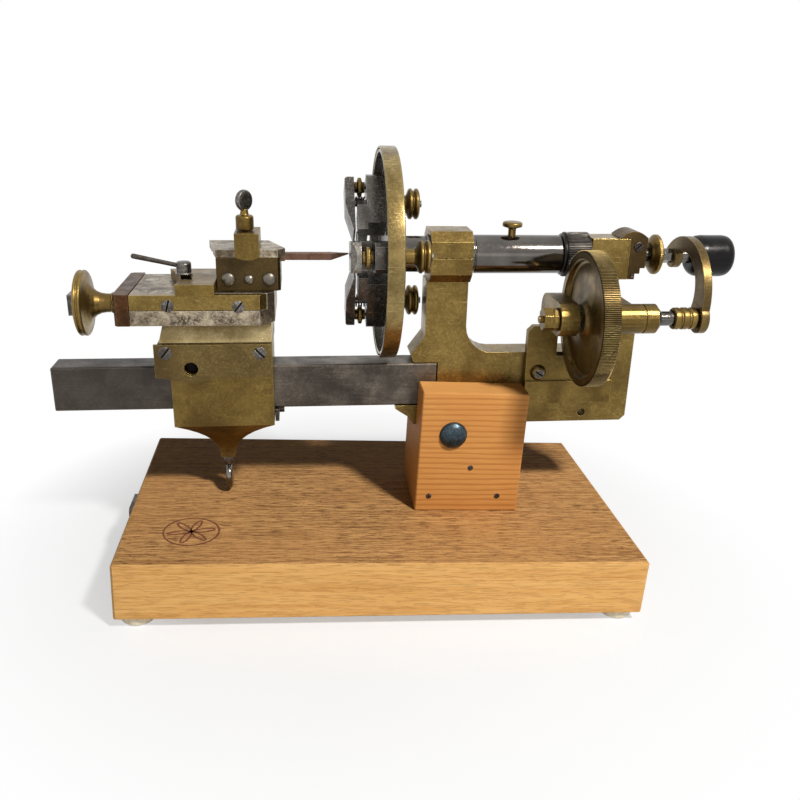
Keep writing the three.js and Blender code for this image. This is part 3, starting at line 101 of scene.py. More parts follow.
class Graph:
    """Node tree of one procedural material; mm is the place on the piece at rest, in millimetres."""

    def __init__(self, name):
        self.m = bpy.data.materials.new(name)
        self.m.use_nodes = True
        self.t = self.m.node_tree
        self.t.nodes.clear()
        self.out = self.node("OutputMaterial")
        self.shader = self.node("BsdfPrincipled")
        self.link(self.shader.outputs[0], self.out.inputs["Surface"])
        self.mm = self.scaled(self.node("TexCoord").outputs["Object"], (1000, 1000, 1000))

    def node(self, kind, **props):
        n = self.t.nodes.new("ShaderNode" + kind)
        for k, v in props.items():
            setattr(n, k, v)
        return n

    def link(self, a, b):
        self.t.links.new(a, b)

    def scaled(self, vector, scale, turn=(0, 0, 0)):
        n = self.node("Mapping")
        n.inputs["Scale"].default_value = scale
        n.inputs["Rotation"].default_value = turn
        self.link(vector, n.inputs["Vector"])
        return n.outputs[0]

    def noise(self, scale, detail=4, rough=0.6, vector=None, distort=0.0):
        n = self.node("TexNoise")
        n.inputs["Scale"].default_value = scale
        n.inputs["Detail"].default_value = detail
        n.inputs["Roughness"].default_value = rough
        n.inputs["Distortion"].default_value = distort
        self.link(vector or self.mm, n.inputs["Vector"])
        return n.outputs["Fac"]

    def ramp(self, value, low, high, a=0.0, b=1.0):
        n = self.node("MapRange")
        n.inputs["From Min"].default_value = low
        n.inputs["From Max"].default_value = high
        n.inputs["To Min"].default_value = a
        n.inputs["To Max"].default_value = b
        self.link(value, n.inputs["Value"])
        return n.outputs[0]

    def mix(self, fac, a, b, blend="MIX"):
        n = self.node("Mix", data_type="RGBA", blend_type=blend)
        for socket, v in ((n.inputs[0], fac), (n.inputs[6], a), (n.inputs[7], b)):
            if isinstance(v, (int, float, tuple)):
                socket.default_value = v
            else:
                self.link(v, socket)
        return n.outputs[2]

    def math(self, op, a, b=0.0):
        n = self.node("Math", operation=op)
        for socket, v in ((n.inputs[0], a), (n.inputs[1], b)):
            if isinstance(v, (int, float)):
                socket.default_value = v
            else:
                self.link(v, socket)
        return n.outputs[0]

    def rounded(self, radius):
        n = self.node("Bevel", samples=4)
        n.inputs["Radius"].default_value = radius * MM
        return n.outputs[0]

    def bump(self, height, depth, normal=None):
        n = self.node("Bump")
        n.inputs["Strength"].default_value = 1.0
        n.inputs["Distance"].default_value = depth * MM
        self.link(height, n.inputs["Height"])
        if normal is not None:
            self.link(normal, n.inputs["Normal"])
        return n.outputs[0]

    def edges(self, rounded):
        """1 where the rounded normal leaves the flat one, along the edges."""
        geometry = self.node("NewGeometry")
        dot = self.node("VectorMath", operation="DOT_PRODUCT")
        self.link(rounded, dot.inputs[0])
        self.link(geometry.outputs["Normal"], dot.inputs[1])
        return self.ramp(dot.outputs["Value"], 0.999, 0.93)

    def up(self):
        """1 on faces that look up."""
        geometry = self.node("NewGeometry")
        split = self.node("SeparateXYZ")
        self.link(geometry.outputs["Normal"], split.inputs[0])
        return self.ramp(split.outputs["Z"], 0.6, 0.9)

    def along(self):
        """The place along the bed, in mm of the world at rest."""
        split = self.node("SeparateXYZ")
        self.link(self.mm, split.inputs[0])
        return split.outputs["X"]

    def gaps(self, centre, root, tip):
        """1 in the gaps between the teeth of a wheel that turns about the lathe's x, where shade is painted,
        0 on its tips and faces."""
        middle = LATHE @ (Vector((0, *centre)) * MM) / MM
        offset = self.node("VectorMath", operation="SUBTRACT")
        offset.inputs[1].default_value = middle
        self.link(self.mm, offset.inputs[0])
        across = self.node("VectorMath", operation="CROSS_PRODUCT")
        across.inputs[1].default_value = lean.to_3x3() @ Vector((1, 0, 0))
        self.link(offset.outputs[0], across.inputs[0])
        radius = self.node("VectorMath", operation="LENGTH")
        self.link(across.outputs[0], radius.inputs[0])
        depth = tip - root
        below_tip = self.ramp(radius.outputs["Value"], tip - 0.1 * depth, tip - 0.55 * depth)
        on_rim = self.ramp(radius.outputs["Value"], root - 0.5 * depth, root - 0.2 * depth)
        return self.math("MULTIPLY", below_tip, on_rim)

    def set(self, name, value):
        socket = self.shader.inputs[name]
        if isinstance(value, (int, float, tuple)):
            socket.default_value = value
        else:
            self.link(value, socket)


def metal(name, base, high, low, rough=(0.25, 0.5), blotch=0.08, pits=0.2, scratch=0.35, bevel=0.35,
          grain=None, spots=None, grain_depth=0.012, metallic=0.88, mottle=0.75, teeth=None, shade_along_bed=None):
    """Aged metal: broad patina, fine mottling, dark pits, crossing scratches, brighter worn edges.

    blotch is the scale of the patina per mm. pits, scratch and mottle are strengths. grain is the scale of
    brushed lines and spots the colour of stains. teeth is the centre, root and tip of a wheel whose gaps
    between the teeth get painted shade, so that only the tips stay bright. shade_along_bed is where along
    the bed a painted shade, darker towards the left end, starts to clear and where it ends.
    """
    g = Graph(name)
    broad = g.noise(blotch, 6, 0.7, distort=0.1)
    fine = g.noise(0.95, 6, 0.75)
    tiny = g.noise(4.5, 3, 0.6)
    colour = g.mix(g.ramp(broad, 0.38, 0.64, 0.0, 0.9 * mottle), srgb(*base), srgb(*low))
    colour = g.mix(g.ramp(fine, 0.5, 0.74, 0.0, 0.65 * mottle), colour, srgb(*high))
    colour = g.mix(g.ramp(g.noise(0.04, 4, 0.6, distort=0.3), 0.44, 0.62, 0.0, 0.7), colour, srgb(*low))
    pit = g.ramp(g.noise(2.4, 5, 0.75), 0.63, 0.7)
    pit = g.math("MULTIPLY", pit, g.ramp(g.noise(0.14, 3, 0.6), 0.42, 0.62, pits * 0.6, min(pits * 3, 1.0)))
    dark = tuple(c * 0.4 for c in low)
    colour = g.mix(pit, colour, srgb(*dark))
    if spots:
        spot = g.math("MULTIPLY", g.ramp(g.noise(0.4, 5, 0.75, distort=0.2), 0.55, 0.68), 0.7 * mottle)
        colour = g.mix(spot, colour, srgb(*spots))
    marks = []
    for scale, turn in (((0.07, 4.4, 4.0), (0.2, 0.5, 0.7)), ((4.1, 0.06, 3.6), (0.4, -0.6, 0.9))):
        lines = g.noise(1.0, 2, 0.5, vector=g.scaled(g.mm, scale, turn))
        marks.append(g.ramp(lines, 0.67, 0.7))
    lines = g.math("MULTIPLY", g.math("MAXIMUM", *marks), g.ramp(g.noise(0.11, 2), 0.4, 0.6, 0.15, 1.0))
    colour = g.mix(g.math("MULTIPLY", lines, scratch), colour, srgb(*high))
    normal = g.rounded(bevel)
    worn = g.math("MULTIPLY", g.edges(normal), g.ramp(g.noise(0.5, 4, 0.7), 0.35, 0.6, 0.2, 0.8))
    colour = g.mix(worn, colour, srgb(*[min(255, c * 1.1) for c in high]))
    height = g.math("ADD", g.math("MULTIPLY", tiny, 0.35), g.math("MULTIPLY", fine, 0.8))
    height = g.math("SUBTRACT", height, g.math("MULTIPLY", pit, 1.6))
    height = g.math("SUBTRACT", height, g.math("MULTIPLY", lines, 0.5))
    if grain:
        brushed = g.noise(1.0, 4, 0.7, vector=g.scaled(g.mm, grain))
        height = g.math("ADD", height, g.math("MULTIPLY", brushed, 2.0))
        colour = g.mix(g.ramp(brushed, 0.42, 0.68, 0.0, 0.45), colour, srgb(*low))
    # painted shade: darker towards the left end of the bed, clearing between the two places given
    if shade_along_bed:
        colour = g.mix(g.ramp(g.along(), *shade_along_bed, 0.75, 0.0), colour, srgb(*low))
    # painted shade: the gaps between a wheel's teeth are darkened, so that only the tips stay bright
    if teeth:
        colour = g.mix(g.gaps(*teeth), colour, srgb(*dark))
    g.set("Base Color", colour)
    g.set("Metallic", metallic)
    dullness = g.ramp(broad, 0.35, 0.65, *rough)
    dullness = g.math("ADD", dullness, g.ramp(fine, 0.4, 0.7, -0.05, 0.08))
    dullness = g.math("ADD", dullness, g.math("MULTIPLY", pit, 0.25))
    g.set("Roughness", dullness)
    g.set("Normal", g.bump(height, grain_depth, normal))
    return g.m


def pine_block():
    g = Graph("pine")
    bend = g.scaled(g.mm, (0.12, 0.12, 1.0), (0.05, 0.035, 0))
    rings = g.node("TexWave", wave_type="BANDS", bands_direction="Z", wave_profile="SIN")
    rings.inputs["Scale"].default_value = 0.12
    rings.inputs["Distortion"].default_value = 3.2
    rings.inputs["Detail"].default_value = 4
    rings.inputs["Detail Scale"].default_value = 1.6
    g.link(bend, rings.inputs["Vector"])
    band = rings.outputs["Fac"]
    fibre = g.noise(1.0, 5, 0.7, vector=g.scaled(g.mm, (0.05, 0.9, 4.0)))
    broad = g.noise(0.03, 3, 0.5)
    colour = g.mix(g.ramp(band, 0.55, 1.0, 0.0, 0.6), srgb(212, 154, 88), srgb(168, 106, 52))
    colour = g.mix(g.ramp(fibre, 0.48, 0.72, 0.0, 0.6), colour, srgb(158, 98, 48))
    colour = g.mix(g.ramp(broad, 0.4, 0.65, 0.0, 0.35), colour, srgb(194, 124, 66))
    fleck = g.ramp(g.noise(1.0, 4, 0.8, vector=g.scaled(g.mm, (0.5, 0.5, 2.5))), 0.7, 0.8)
    colour = g.mix(g.math("MULTIPLY", fleck, 0.5), colour, srgb(110, 62, 34))
    normal = g.rounded(0.7)
    colour = g.mix(g.math("MULTIPLY", g.edges(normal), 0.4), colour, srgb(216, 162, 104))
    # painted light: faces that look up are made lighter, as if lit from above
    colour = g.mix(g.math("MULTIPLY", g.up(), 0.55), colour, srgb(228, 174, 106))
    g.set("Specular IOR Level", 0.04)
    g.set("Base Color", colour)
    g.set("Roughness", g.ramp(fibre, 0.3, 0.7, 0.42, 0.62))
    height = g.math("ADD", g.math("MULTIPLY", band, -0.5), fibre)
    g.set("Normal", g.bump(height, 0.05, normal))
    return g.m


def board_wood():
    g = Graph("board")
    top = g.up()
    long = g.noise(1.0, 6, 0.68, vector=g.scaled(g.mm, (0.012, 0.5, 0.5), (0, 0, 0.02)), distort=0.5)
    streak = g.noise(1.0, 4, 0.7, vector=g.scaled(g.mm, (0.03, 0.8, 0.8)))
    pores = g.ramp(g.noise(1.0, 3, 0.6, vector=g.scaled(g.mm, (0.14, 1.5, 1.5))), 0.52, 0.6)
    specks = g.ramp(g.noise(1.0, 4, 0.75, vector=g.scaled(g.mm, (0.5, 1.3, 1.3))), 0.57, 0.64)
    broad = g.noise(0.022, 3, 0.5)
    brown = g.mix(g.ramp(long, 0.35, 0.65), srgb(212, 166, 110), srgb(160, 117, 72))
    brown = g.mix(g.ramp(streak, 0.5, 0.64, 0.0, 0.7), brown, srgb(212, 166, 108))
    brown = g.mix(g.ramp(streak, 0.47, 0.34, 0.0, 0.7), brown, srgb(112, 74, 42))
    brown = g.mix(g.math("MULTIPLY", pores, 0.8), brown, srgb(92, 58, 33))
    brown = g.mix(g.math("MULTIPLY", specks, 0.7), brown, srgb(60, 38, 24))
    brown = g.mix(g.ramp(broad, 0.42, 0.62, 0.0, 0.35), brown, srgb(206, 154, 98))
    honey = g.mix(g.ramp(long, 0.4, 0.7), srgb(226, 178, 112), srgb(206, 152, 86))
    honey = g.mix(g.ramp(streak, 0.5, 0.75, 0.0, 0.5), honey, srgb(222, 176, 112))
    honey = g.mix(g.math("MULTIPLY", pores, 0.22), honey, srgb(150, 98, 50))
    spot = g.ramp(g.noise(0.35, 3, 0.6), 0.72, 0.78)
    honey = g.mix(g.math("MULTIPLY", spot, 0.5), honey, srgb(120, 78, 46))
    colour = g.mix(top, honey, brown)
    normal = g.rounded(0.6)
    edge = g.math("MULTIPLY", g.edges(normal), 0.8)
    colour = g.mix(edge, colour, srgb(226, 186, 124))
    g.set("Specular IOR Level", 0.02)
    g.set("Base Color", colour)
    g.set("Roughness", g.ramp(streak, 0.3, 0.7, 0.4, 0.58))
    height = g.math("SUBTRACT", g.math("MULTIPLY", streak, 0.7), g.math("MULTIPLY", pores, 1.1))
    g.set("Normal", g.bump(height, 0.08, normal))
    return g.m


def rubber():
    g = Graph("cream_rubber")
    broad = g.noise(0.2, 4, 0.6)
    colour = g.mix(g.ramp(broad, 0.4, 0.7), srgb(232, 224, 202), srgb(206, 194, 166))
    grime = g.ramp(g.noise(1.4, 5, 0.8), 0.6, 0.75, 0.0, 0.6)
    colour = g.mix(grime, colour, srgb(150, 136, 112))
    g.set("Base Color", colour)
    g.set("Roughness", g.ramp(broad, 0.3, 0.7, 0.55, 0.75))
    g.set("Normal", g.bump(g.noise(2.6, 4, 0.7), 0.05))
    return g.m


def ebony():
    g = Graph("ebony")
    grain = g.noise(1.0, 5, 0.7, vector=g.scaled(g.mm, (0.06, 1.6, 1.6)))
    colour = g.mix(g.ramp(grain, 0.4, 0.7), srgb(9, 8, 9), srgb(20, 17, 16))
    dust = g.ramp(g.noise(2.4, 4, 0.7), 0.68, 0.76, 0.0, 0.2)
    colour = g.mix(dust, colour, srgb(78, 72, 68))
    g.set("Base Color", colour)
    g.set("Roughness", g.ramp(g.noise(0.3, 4), 0.35, 0.65, 0.2, 0.34))
    g.set("Specular IOR Level", 0.15)
    g.set("Coat Weight", 0.06)
    g.set("Coat Roughness", 0.12)
    g.set("Normal", g.bump(g.noise(1.6, 5, 0.7), 0.02))
    return g.m


def blued():
    g = Graph("blued")
    broad = g.noise(0.25, 5, 0.7)
    colour = g.mix(g.ramp(broad, 0.4, 0.65), srgb(58, 74, 84), srgb(30, 38, 44))
    fleck = g.ramp(g.noise(1.5, 5, 0.8), 0.56, 0.66)
    colour = g.mix(g.math("MULTIPLY", fleck, 0.6), colour, srgb(120, 132, 134))
    g.set("Base Color", colour)
    g.set("Metallic", 0.75)
    g.set("Roughness", g.ramp(broad, 0.35, 0.7, 0.3, 0.5))
    g.set("Normal", g.bump(g.noise(2.0, 5, 0.8), 0.05))
    return g.m


def burnt():
    g = Graph("burnt_line")
    colour = g.mix(g.ramp(g.noise(1.2, 5, 0.8), 0.35, 0.7), srgb(84, 40, 22), srgb(132, 74, 42))
    g.set("Base Color", colour)
    g.set("Roughness", g.ramp(g.noise(0.8, 3), 0.3, 0.7, 0.6, 0.8))
    g.set("Normal", g.bump(g.noise(3.0, 4), 0.03))
    return g.m


BRASS = metal("aged_brass", (122, 100, 51), (176, 152, 88), (82, 64, 30), (0.28, 0.46), pits=0.5,
              spots=(68, 50, 27))
BRASS_WORN = metal("worn_brass", (132, 109, 57), (196, 172, 108), (88, 69, 33), (0.24, 0.4), blotch=0.12,
                   pits=0.5, scratch=0.6, spots=(80, 60, 32), mottle=0.7)
BRASS_BAND = metal("faceplate_brass", (150, 130, 82), (240, 224, 174), (92, 75, 42), (0.22, 0.37), blotch=0.1,
                   pits=0.3, scratch=1.0, metallic=0.95, mottle=0.4)
# a paler copy of brass: painted light on the cross slide's bevel under the top slide
BRASS_PAINTED_LIGHT = metal("painted_lit_brass", (166, 148, 106), (212, 198, 158), (110, 92, 54), (0.28, 0.44), pits=0.4,
                   scratch=0.5, spots=(96, 78, 46))
# a darker copy of brass: painted shade on the tool block
BRASS_PAINTED_SHADE = metal("painted_shade_brass", (80, 64, 35), (124, 104, 60), (54, 42, 23), (0.3, 0.48), pits=0.4, scratch=0.3)
BRASS_BRIGHT = metal("turned_brass", (130, 108, 58), (184, 158, 100), (90, 71, 36), (0.26, 0.42), pits=0.2,
                     scratch=0.3, mottle=0.5)
BRASS_GEAR = metal("gear_brass", (130, 108, 63), (196, 174, 116), (74, 58, 31), (0.28, 0.44), pits=0.3,
                   scratch=0.3, bevel=0.06, teeth=(SHAFT, GEAR_ROOT, GEAR_TIP))
BRASS_ARM = metal("arm_brass", (106, 88, 50), (176, 154, 104), (72, 56, 32), (0.28, 0.44), pits=0.3,
                  scratch=0.4, mottle=0.6)
# the bed bar gets painted shade towards its left end
STEEL_BAR = metal("bar_steel", (116, 107, 96), (170, 160, 146), (60, 55, 51), (0.34, 0.52), pits=0.8,
                  scratch=0.3, spots=(68, 57, 47), grain=(0.03, 2.2, 2.2), mottle=0.85, shade_along_bed=(-110, -40))
BRASS_DARK = metal("brown_brass", (90, 71, 40), (134, 110, 66), (60, 46, 26), (0.34, 0.52), pits=0.4)
STEEL = metal("grey_steel", (100, 95, 90), (190, 186, 180), (60, 56, 52), (0.2, 0.36), pits=0.5, scratch=0.6,
              spots=(68, 54, 44), mottle=1.0)
# a lighter copy of the dogs' steel: painted light on the dog parts that the lamp catches
STEEL_PAINTED_LIT = metal("painted_lit_steel", (138, 133, 126), (214, 210, 204), (80, 75, 69), (0.22, 0.38), pits=0.4,
                    scratch=0.6, spots=(88, 74, 62), mottle=0.85)
STEEL_PLATE = metal("faceplate_steel", (142, 138, 131), (204, 200, 194), (96, 91, 85), (0.2, 0.36), pits=0.3,
                    scratch=0.3, mottle=0.7, grain_depth=0.003)
STEEL_GEAR = metal("gear_steel", (96, 92, 87), (168, 164, 158), (58, 54, 50), (0.28, 0.44), pits=0.3,
                   scratch=0.3, bevel=0.06, teeth=((0, 0), PINION_ROOT, PINION_TIP))
STEEL_DARK = metal("dark_steel", (90, 83, 76), (146, 137, 125), (48, 44, 41), (0.36, 0.54), pits=0.8,
                   scratch=0.3, spots=(58, 47, 39), grain=(0.03, 2.2, 2.2), mottle=1.0)
STEEL_PITTED = metal("pitted_steel", (180, 166, 141), (226, 216, 197), (72, 59, 45), (0.3, 0.48), blotch=0.25,
                     pits=1.0, scratch=0.2, grain_depth=0.05, spots=(76, 58, 40), mottle=1.2)
STEEL_BRIGHT = metal("bright_steel", (114, 110, 105), (196, 193, 189), (70, 67, 63), (0.12, 0.24), pits=0.2,
                     scratch=0.4, metallic=0.95, mottle=0.6)
STEEL_TUBE = metal("spindle_steel", (104, 100, 96), (158, 154, 150), (80, 76, 72), (0.08, 0.17), pits=0.06,
                   scratch=0.2, metallic=0.97, mottle=0.3, grain_depth=0.004)
STEEL_DOME = metal("turned_steel", (122, 116, 106), (176, 169, 158), (88, 82, 74), (0.28, 0.4), pits=0.3,
                   scratch=0.3, mottle=0.6)
COPPER = metal("brown_bronze", (88, 58, 32), (140, 100, 64), (46, 29, 18), (0.34, 0.52), blotch=0.15,
               pits=0.3)
RUSTY = metal("rusty_tool", (116, 88, 73), (152, 128, 113), (76, 52, 40), (0.4, 0.6), blotch=0.2, pits=0.6,
              spots=(90, 54, 38))
# dark material for discs of painted shade at the bottom of slots and holes
SLOT_PAINTED_SHADE = metal("painted_slot_shade", (34, 30, 27), (50, 45, 40), (20, 18, 16), (0.6, 0.8), pits=0.2, scratch=0.1)
PINE = pine_block()
WOOD = board_wood()
RUBBER = rubber()
EBONY = ebony()
BLUED = blued()
BURNT = burnt()

NODE_MATERIAL = {
    "base_board": WOOD, "wood_block": PINE, "bed_bar": STEEL_BAR, "rear_cap": BRASS_DARK,
    "clamp_column": BRASS, "gear_bracket": BRASS, "headstock_frame": BRASS_WORN, "bearing_cap": BRASS_WORN,
    "faceplate": STEEL_PLATE, "work_disc": STEEL_BRIGHT, "centre_rod": STEEL_BRIGHT, "pinion": STEEL,
    "gear_pivot_screw": BRASS, "crank_bush": STEEL, "crank_shaft": STEEL_BRIGHT, "crank_arm": BRASS,
    "saddle_block": BRASS, "saddle_front_plate": BRASS_ARM, "saddle_gib": STEEL_DARK,
    "cross_slide": BRASS_PAINTED_LIGHT, "slide_bed": STEEL_PITTED, "slide_strip": BRASS_WORN,
    "slide_end_block": COPPER, "lead_screw": STEEL_BRIGHT, "carriage_plate": BRASS, "tool_block": BRASS_PAINTED_SHADE,
    "tool_plate": STEEL_PITTED, "tool_bar": RUSTY, "handle_pin": STEEL_BRIGHT, "dog_top_base": STEEL_PAINTED_LIT,
    "dog_near_finger": STEEL_PAINTED_LIT,
}


def node_material(node):
    if node in NODE_MATERIAL:
        return NODE_MATERIAL[node]
    if node.startswith("dog_") and node.endswith(("base", "finger", "spring")):
        return STEEL
    return RUBBER if node.startswith("foot") else BRASS_BRIGHT


for node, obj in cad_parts.items():
    obj.data.materials.clear()
    obj.data.materials.append(node_material(node))


# Mesh helpers, in millimetres of the lathe's or the stand's frame
def add_mesh(name, points, faces, material, body, matrix=LATHE, smooth=35, replaces=None):
    mesh = bpy.data.meshes.new(name)
    mesh.from_pydata([matrix @ (Vector(p) * MM) for p in points], [], faces)
    mesh.validate()
    mesh.update()
    if smooth:
        mesh.polygons.foreach_set("use_smooth", [True] * len(mesh.polygons))
        mesh.set_sharp_from_angle(angle=math.radians(smooth))
    obj = bpy.data.objects.new(name, mesh)
    bpy.context.scene.collection.objects.link(obj)
    mesh.materials.append(material)
    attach(obj, body)
    if replaces:
        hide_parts(replaces)


def softened(profile, radius, closed=False):
    """Rounds the corners of a profile of (along, radius) points with a short arc."""
    pts = [Vector(p) for p in profile]
    out = []
    n = len(pts)
    for i, p in enumerate(pts):
        if not closed and i in (0, n - 1):
            out.append(tuple(p))
            continue
        a, b = pts[i - 1] - p, pts[(i + 1) % n] - p
        if a.length < 1e-6 or b.length < 1e-6 or p[1] < 1e-6:
            out.append(tuple(p))
            continue
        cut = min(radius, a.length * 0.45, b.length * 0.45)
        s, e = p + a.normalized() * cut, p + b.normalized() * cut
        for t in (0, 0.33, 0.67, 1):
            out.append(tuple(s * (1 - t) ** 2 + p * 2 * t * (1 - t) + e * t * t))
    return out


def lathe_mesh(profile, axis, at, sides=96, closed=False, wave=None):
    """Turned surface. wave(angle, along, radius) may move the radius for knurls and teeth."""
    points, faces = [], []
    rows = len(profile)
    for i in range(sides):
        angle = 2 * math.pi * i / sides
        for along, radius in profile:
            r = wave(angle, along, radius) if wave else radius
            a, b = r * math.cos(angle), r * math.sin(angle)
            if axis == "x":
                points.append((along, at[0] + a, at[1] + b))
            elif axis == "y":
                points.append((at[0] + b, along, at[1] + a))
            else:
                points.append((at[0] + a, at[1] + b, along))
    for i in range(sides):
        j = (i + 1) % sides
        for k in range(rows if closed else rows - 1):
            q = (k + 1) % rows
            faces.append((i * rows + k, i * rows + q, j * rows + q, j * rows + k))
    return points, faces


def merged(points, faces):
    """Faces whose points lie on the axis collapse; this drops the doubled corners."""
    seen, remap, kept = {}, [], []
    for p in points:
        key = tuple(round(c, 4) for c in p)
        if key not in seen:
            seen[key] = len(kept)
            kept.append(p)
        remap.append(seen[key])
    clean = []
    for f in faces:
        g = []
        for v in f:
            if remap[v] not in g:
                g.append(remap[v])
        if len(g) > 2:
            clean.append(tuple(g))
    return kept, clean


def outward(points, faces):
    """Turns all faces over when the closed surface is inside out."""
    total = 0.0
    for f in faces:
        a = Vector(points[f[0]])
        for k in range(1, len(f) - 1):
            total += a.dot(Vector(points[f[k]]).cross(Vector(points[f[k + 1]])))
    return faces if total > 0 else [tuple(reversed(f)) for f in faces]


def turned(name, profile, axis, at, material, body, sides=96, closed=False, round_by=0.25, wave=None,
           matrix=LATHE, replaces=None, smooth=38):
    rows = softened(profile, round_by, closed) if round_by else profile
    points, faces = lathe_mesh(rows, axis, at, sides, closed, wave)
    points, faces = merged(points, faces)
    add_mesh(name, points, outward(points, faces), material, body, matrix, smooth, replaces=replaces)


def knurl(first, last, low, count, depth):
    """Grooves from first to last along the axis, on what stands further out than low."""
    def wave(angle, along, radius):
        if first <= along <= last and radius > low:
            return radius - depth * (0.5 + 0.5 * math.cos(count * angle))
        return radius
    return wave


def prism(name, outline, start, end, material, body, matrix=LATHE, replaces=None, smooth=30):
    """Straight prism of a (y, z) outline, from start to end along x."""
    n = len(outline)
    points = [(along, a, b) for along in (start, end) for a, b in outline]
    faces = [tuple(range(n)), tuple(range(2 * n - 1, n - 1, -1))]
    faces += [(i, i + n, (i + 1) % n + n, (i + 1) % n) for i in range(n)]
    add_mesh(name, points, outward(points, faces), material, body, matrix, smooth, replaces=replaces)


def ring(cx, cy, radius, count, start=0.0, sweep=2 * math.pi):
    """Points on a circle, or on an arc when sweep is less than a full turn."""
    step = sweep / (count if abs(sweep - 2 * math.pi) < 1e-9 else count - 1)
    return [(cx + radius * math.cos(start + step * i), cy + radius * math.sin(start + step * i))
            for i in range(count)]


def slotted(name, centre, radius, proud, angle, body, material=STEEL, matrix=LATHE):
    """Slotted screw head that looks along -y: two domed half discs over a dark disc of painted shade in the
    slot.
    """
    half_slot = radius * 0.17
    dome_share = 0.35
    first = math.asin(half_slot / radius)
    steps, sides = 17, 32

    def lay(u, v, h):
        c, s = math.cos(angle), math.sin(angle)
        return (centre[0] + (u * c - v * s), centre[1] - h, centre[2] + (u * s + v * c))

    points, faces = [], []
    for sign in (1, -1):
        rings, half = [], []
        for share, h in ((1.0, 0.0), (1.0, proud * (1 - dome_share)), (0.86, proud)):
            row = []
            for i in range(steps):
                t = first + (math.pi - 2 * first) * i / (steps - 1)
                u, v = radius * math.cos(t) * share, radius * math.sin(t)
                row.append(len(points))
                points.append(lay(u, sign * (half_slot + (v - half_slot) * share), h))
            rings.append(row)
        for low, high in zip(rings, rings[1:]):
            for i in range(steps):
                j = (i + 1) % steps
                half.append((low[i], low[j], high[j], high[i]))
        half.append(tuple(rings[-1]))
        half.append(tuple(reversed(rings[0])))
        faces += outward(points, half)
    add_mesh(name, points, faces, material, body, matrix, 30)
    points = [lay(u, v, h) for h in (0.0, proud * 0.3) for u, v in ring(0, 0, radius * 0.97, sides)]
    faces = [tuple(range(sides)), tuple(range(2 * sides - 1, sides - 1, -1))]
    faces += [(i, i + sides, (i + 1) % sides + sides, (i + 1) % sides) for i in range(sides)]
    # painted shade: a dark disc at the bottom of the slot
    add_mesh(f"{name}_slot", points, outward(points, faces), SLOT_PAINTED_SHADE, body, matrix, 30)


# Stand
for row, y in (("front", 9), ("rear", 118.5)):
    for side, x in (("left", 8.4), ("right", 213.6)):
        turned(f"foot_{row}_{side}_soft", [(-4.6, 0), (-4.6, 6.2), (-3.6, 7.1), (0, 7.4), (0, 0)], "z",
               (x, y), RUBBER, "stand", 48, round_by=0.6, matrix=STAND, replaces=f"foot_{row}_{side}")

dome = [(-3.2, 0), (-3.15, 1.2), (-2.85, 2.9), (-2.1, 4.6), (-1.1, 5.8), (-0.3, 6.25), (0, 6.3)]
shank = [(0, 3.0), (42.8, 3.0), (42.8, 5.5), (46.8, 5.5), (46.8, 3.0), (49.8, 3.0), (49.8, 0)]
turned("block_bolt_dome", [(BLOCK_FRONT + a, r) for a, r in dome + shank], "y", (141.5, 63.4), BLUED, "stand",
       64, matrix=STAND, replaces="block_bolt")
for i, (x, z) in enumerate(((150.8, 47.4), (132.6, 33.0), (164.6, 33.2))):
    slotted(f"block_nail_{i}", (x, BLOCK_FRONT, z), 1.3, 0.25, 0.6 + i, "stand", STEEL_DARK, STAND)


tab_outline = [(52, 14), (66, 14), (67, 15), (67, 22.2), (66, 23.2), (52, 23.2), (51, 22.2), (51, 15)]
prism("side_tab", tab_outline, -2.0, -0.02, STEEL_DARK, "stand", STAND)


def compass_rosette(cx, cy, radius):
    """Plain six-petal compass figure in a ring, burnt into the board: each line is a narrow flat strip."""
    points, faces = [], []
    width, proud = 0.85, 0.06

    def strip(path):
        first = len(points)
        for i, (x, y) in enumerate(path):
            ahead, behind = path[min(i + 1, len(path) - 1)], path[max(i - 1, 0)]
            nx, ny = ahead[0] - behind[0], ahead[1] - behind[1]
            length = math.hypot(nx, ny) or 1
            half = width / 2 * (0.8 + 0.4 * rng.random())
            for sign in (1, -1):
                for h in (0.0, proud):
                    points.append((x - sign * ny / length * half, y + sign * nx / length * half,
                                   BOARD_TOP + h))
        n = len(path)
        for i in range(n - 1):
            a, b = first + 4 * i, first + 4 * (i + 1)
            faces.extend([(a + 1, b + 1, b + 3, a + 3), (a, b, b + 1, a + 1), (a + 3, b + 3, b + 2, a + 2),
                          (a + 2, b + 2, b, a)])
        faces.append((first, first + 1, first + 3, first + 2))
        last = first + 4 * (n - 1)
        faces.append((last + 2, last + 3, last + 1, last))

    for k in range(6):
        a = math.pi / 3 * k + 0.2
        ox, oy = cx + radius * math.cos(a), cy + radius * math.sin(a)
        strip(ring(ox, oy, radius, 15, a + math.pi - math.pi / 3 + 0.05, 2 * math.pi / 3 - 0.1))
    strip(ring(cx, cy, radius * 1.1, 73, 0.0, 2 * math.pi - 0.02))
    add_mesh("compass_rosette", points, faces, BURNT, "stand", STAND, 0)


compass_rosette(28.3, 27.0, 10.5)

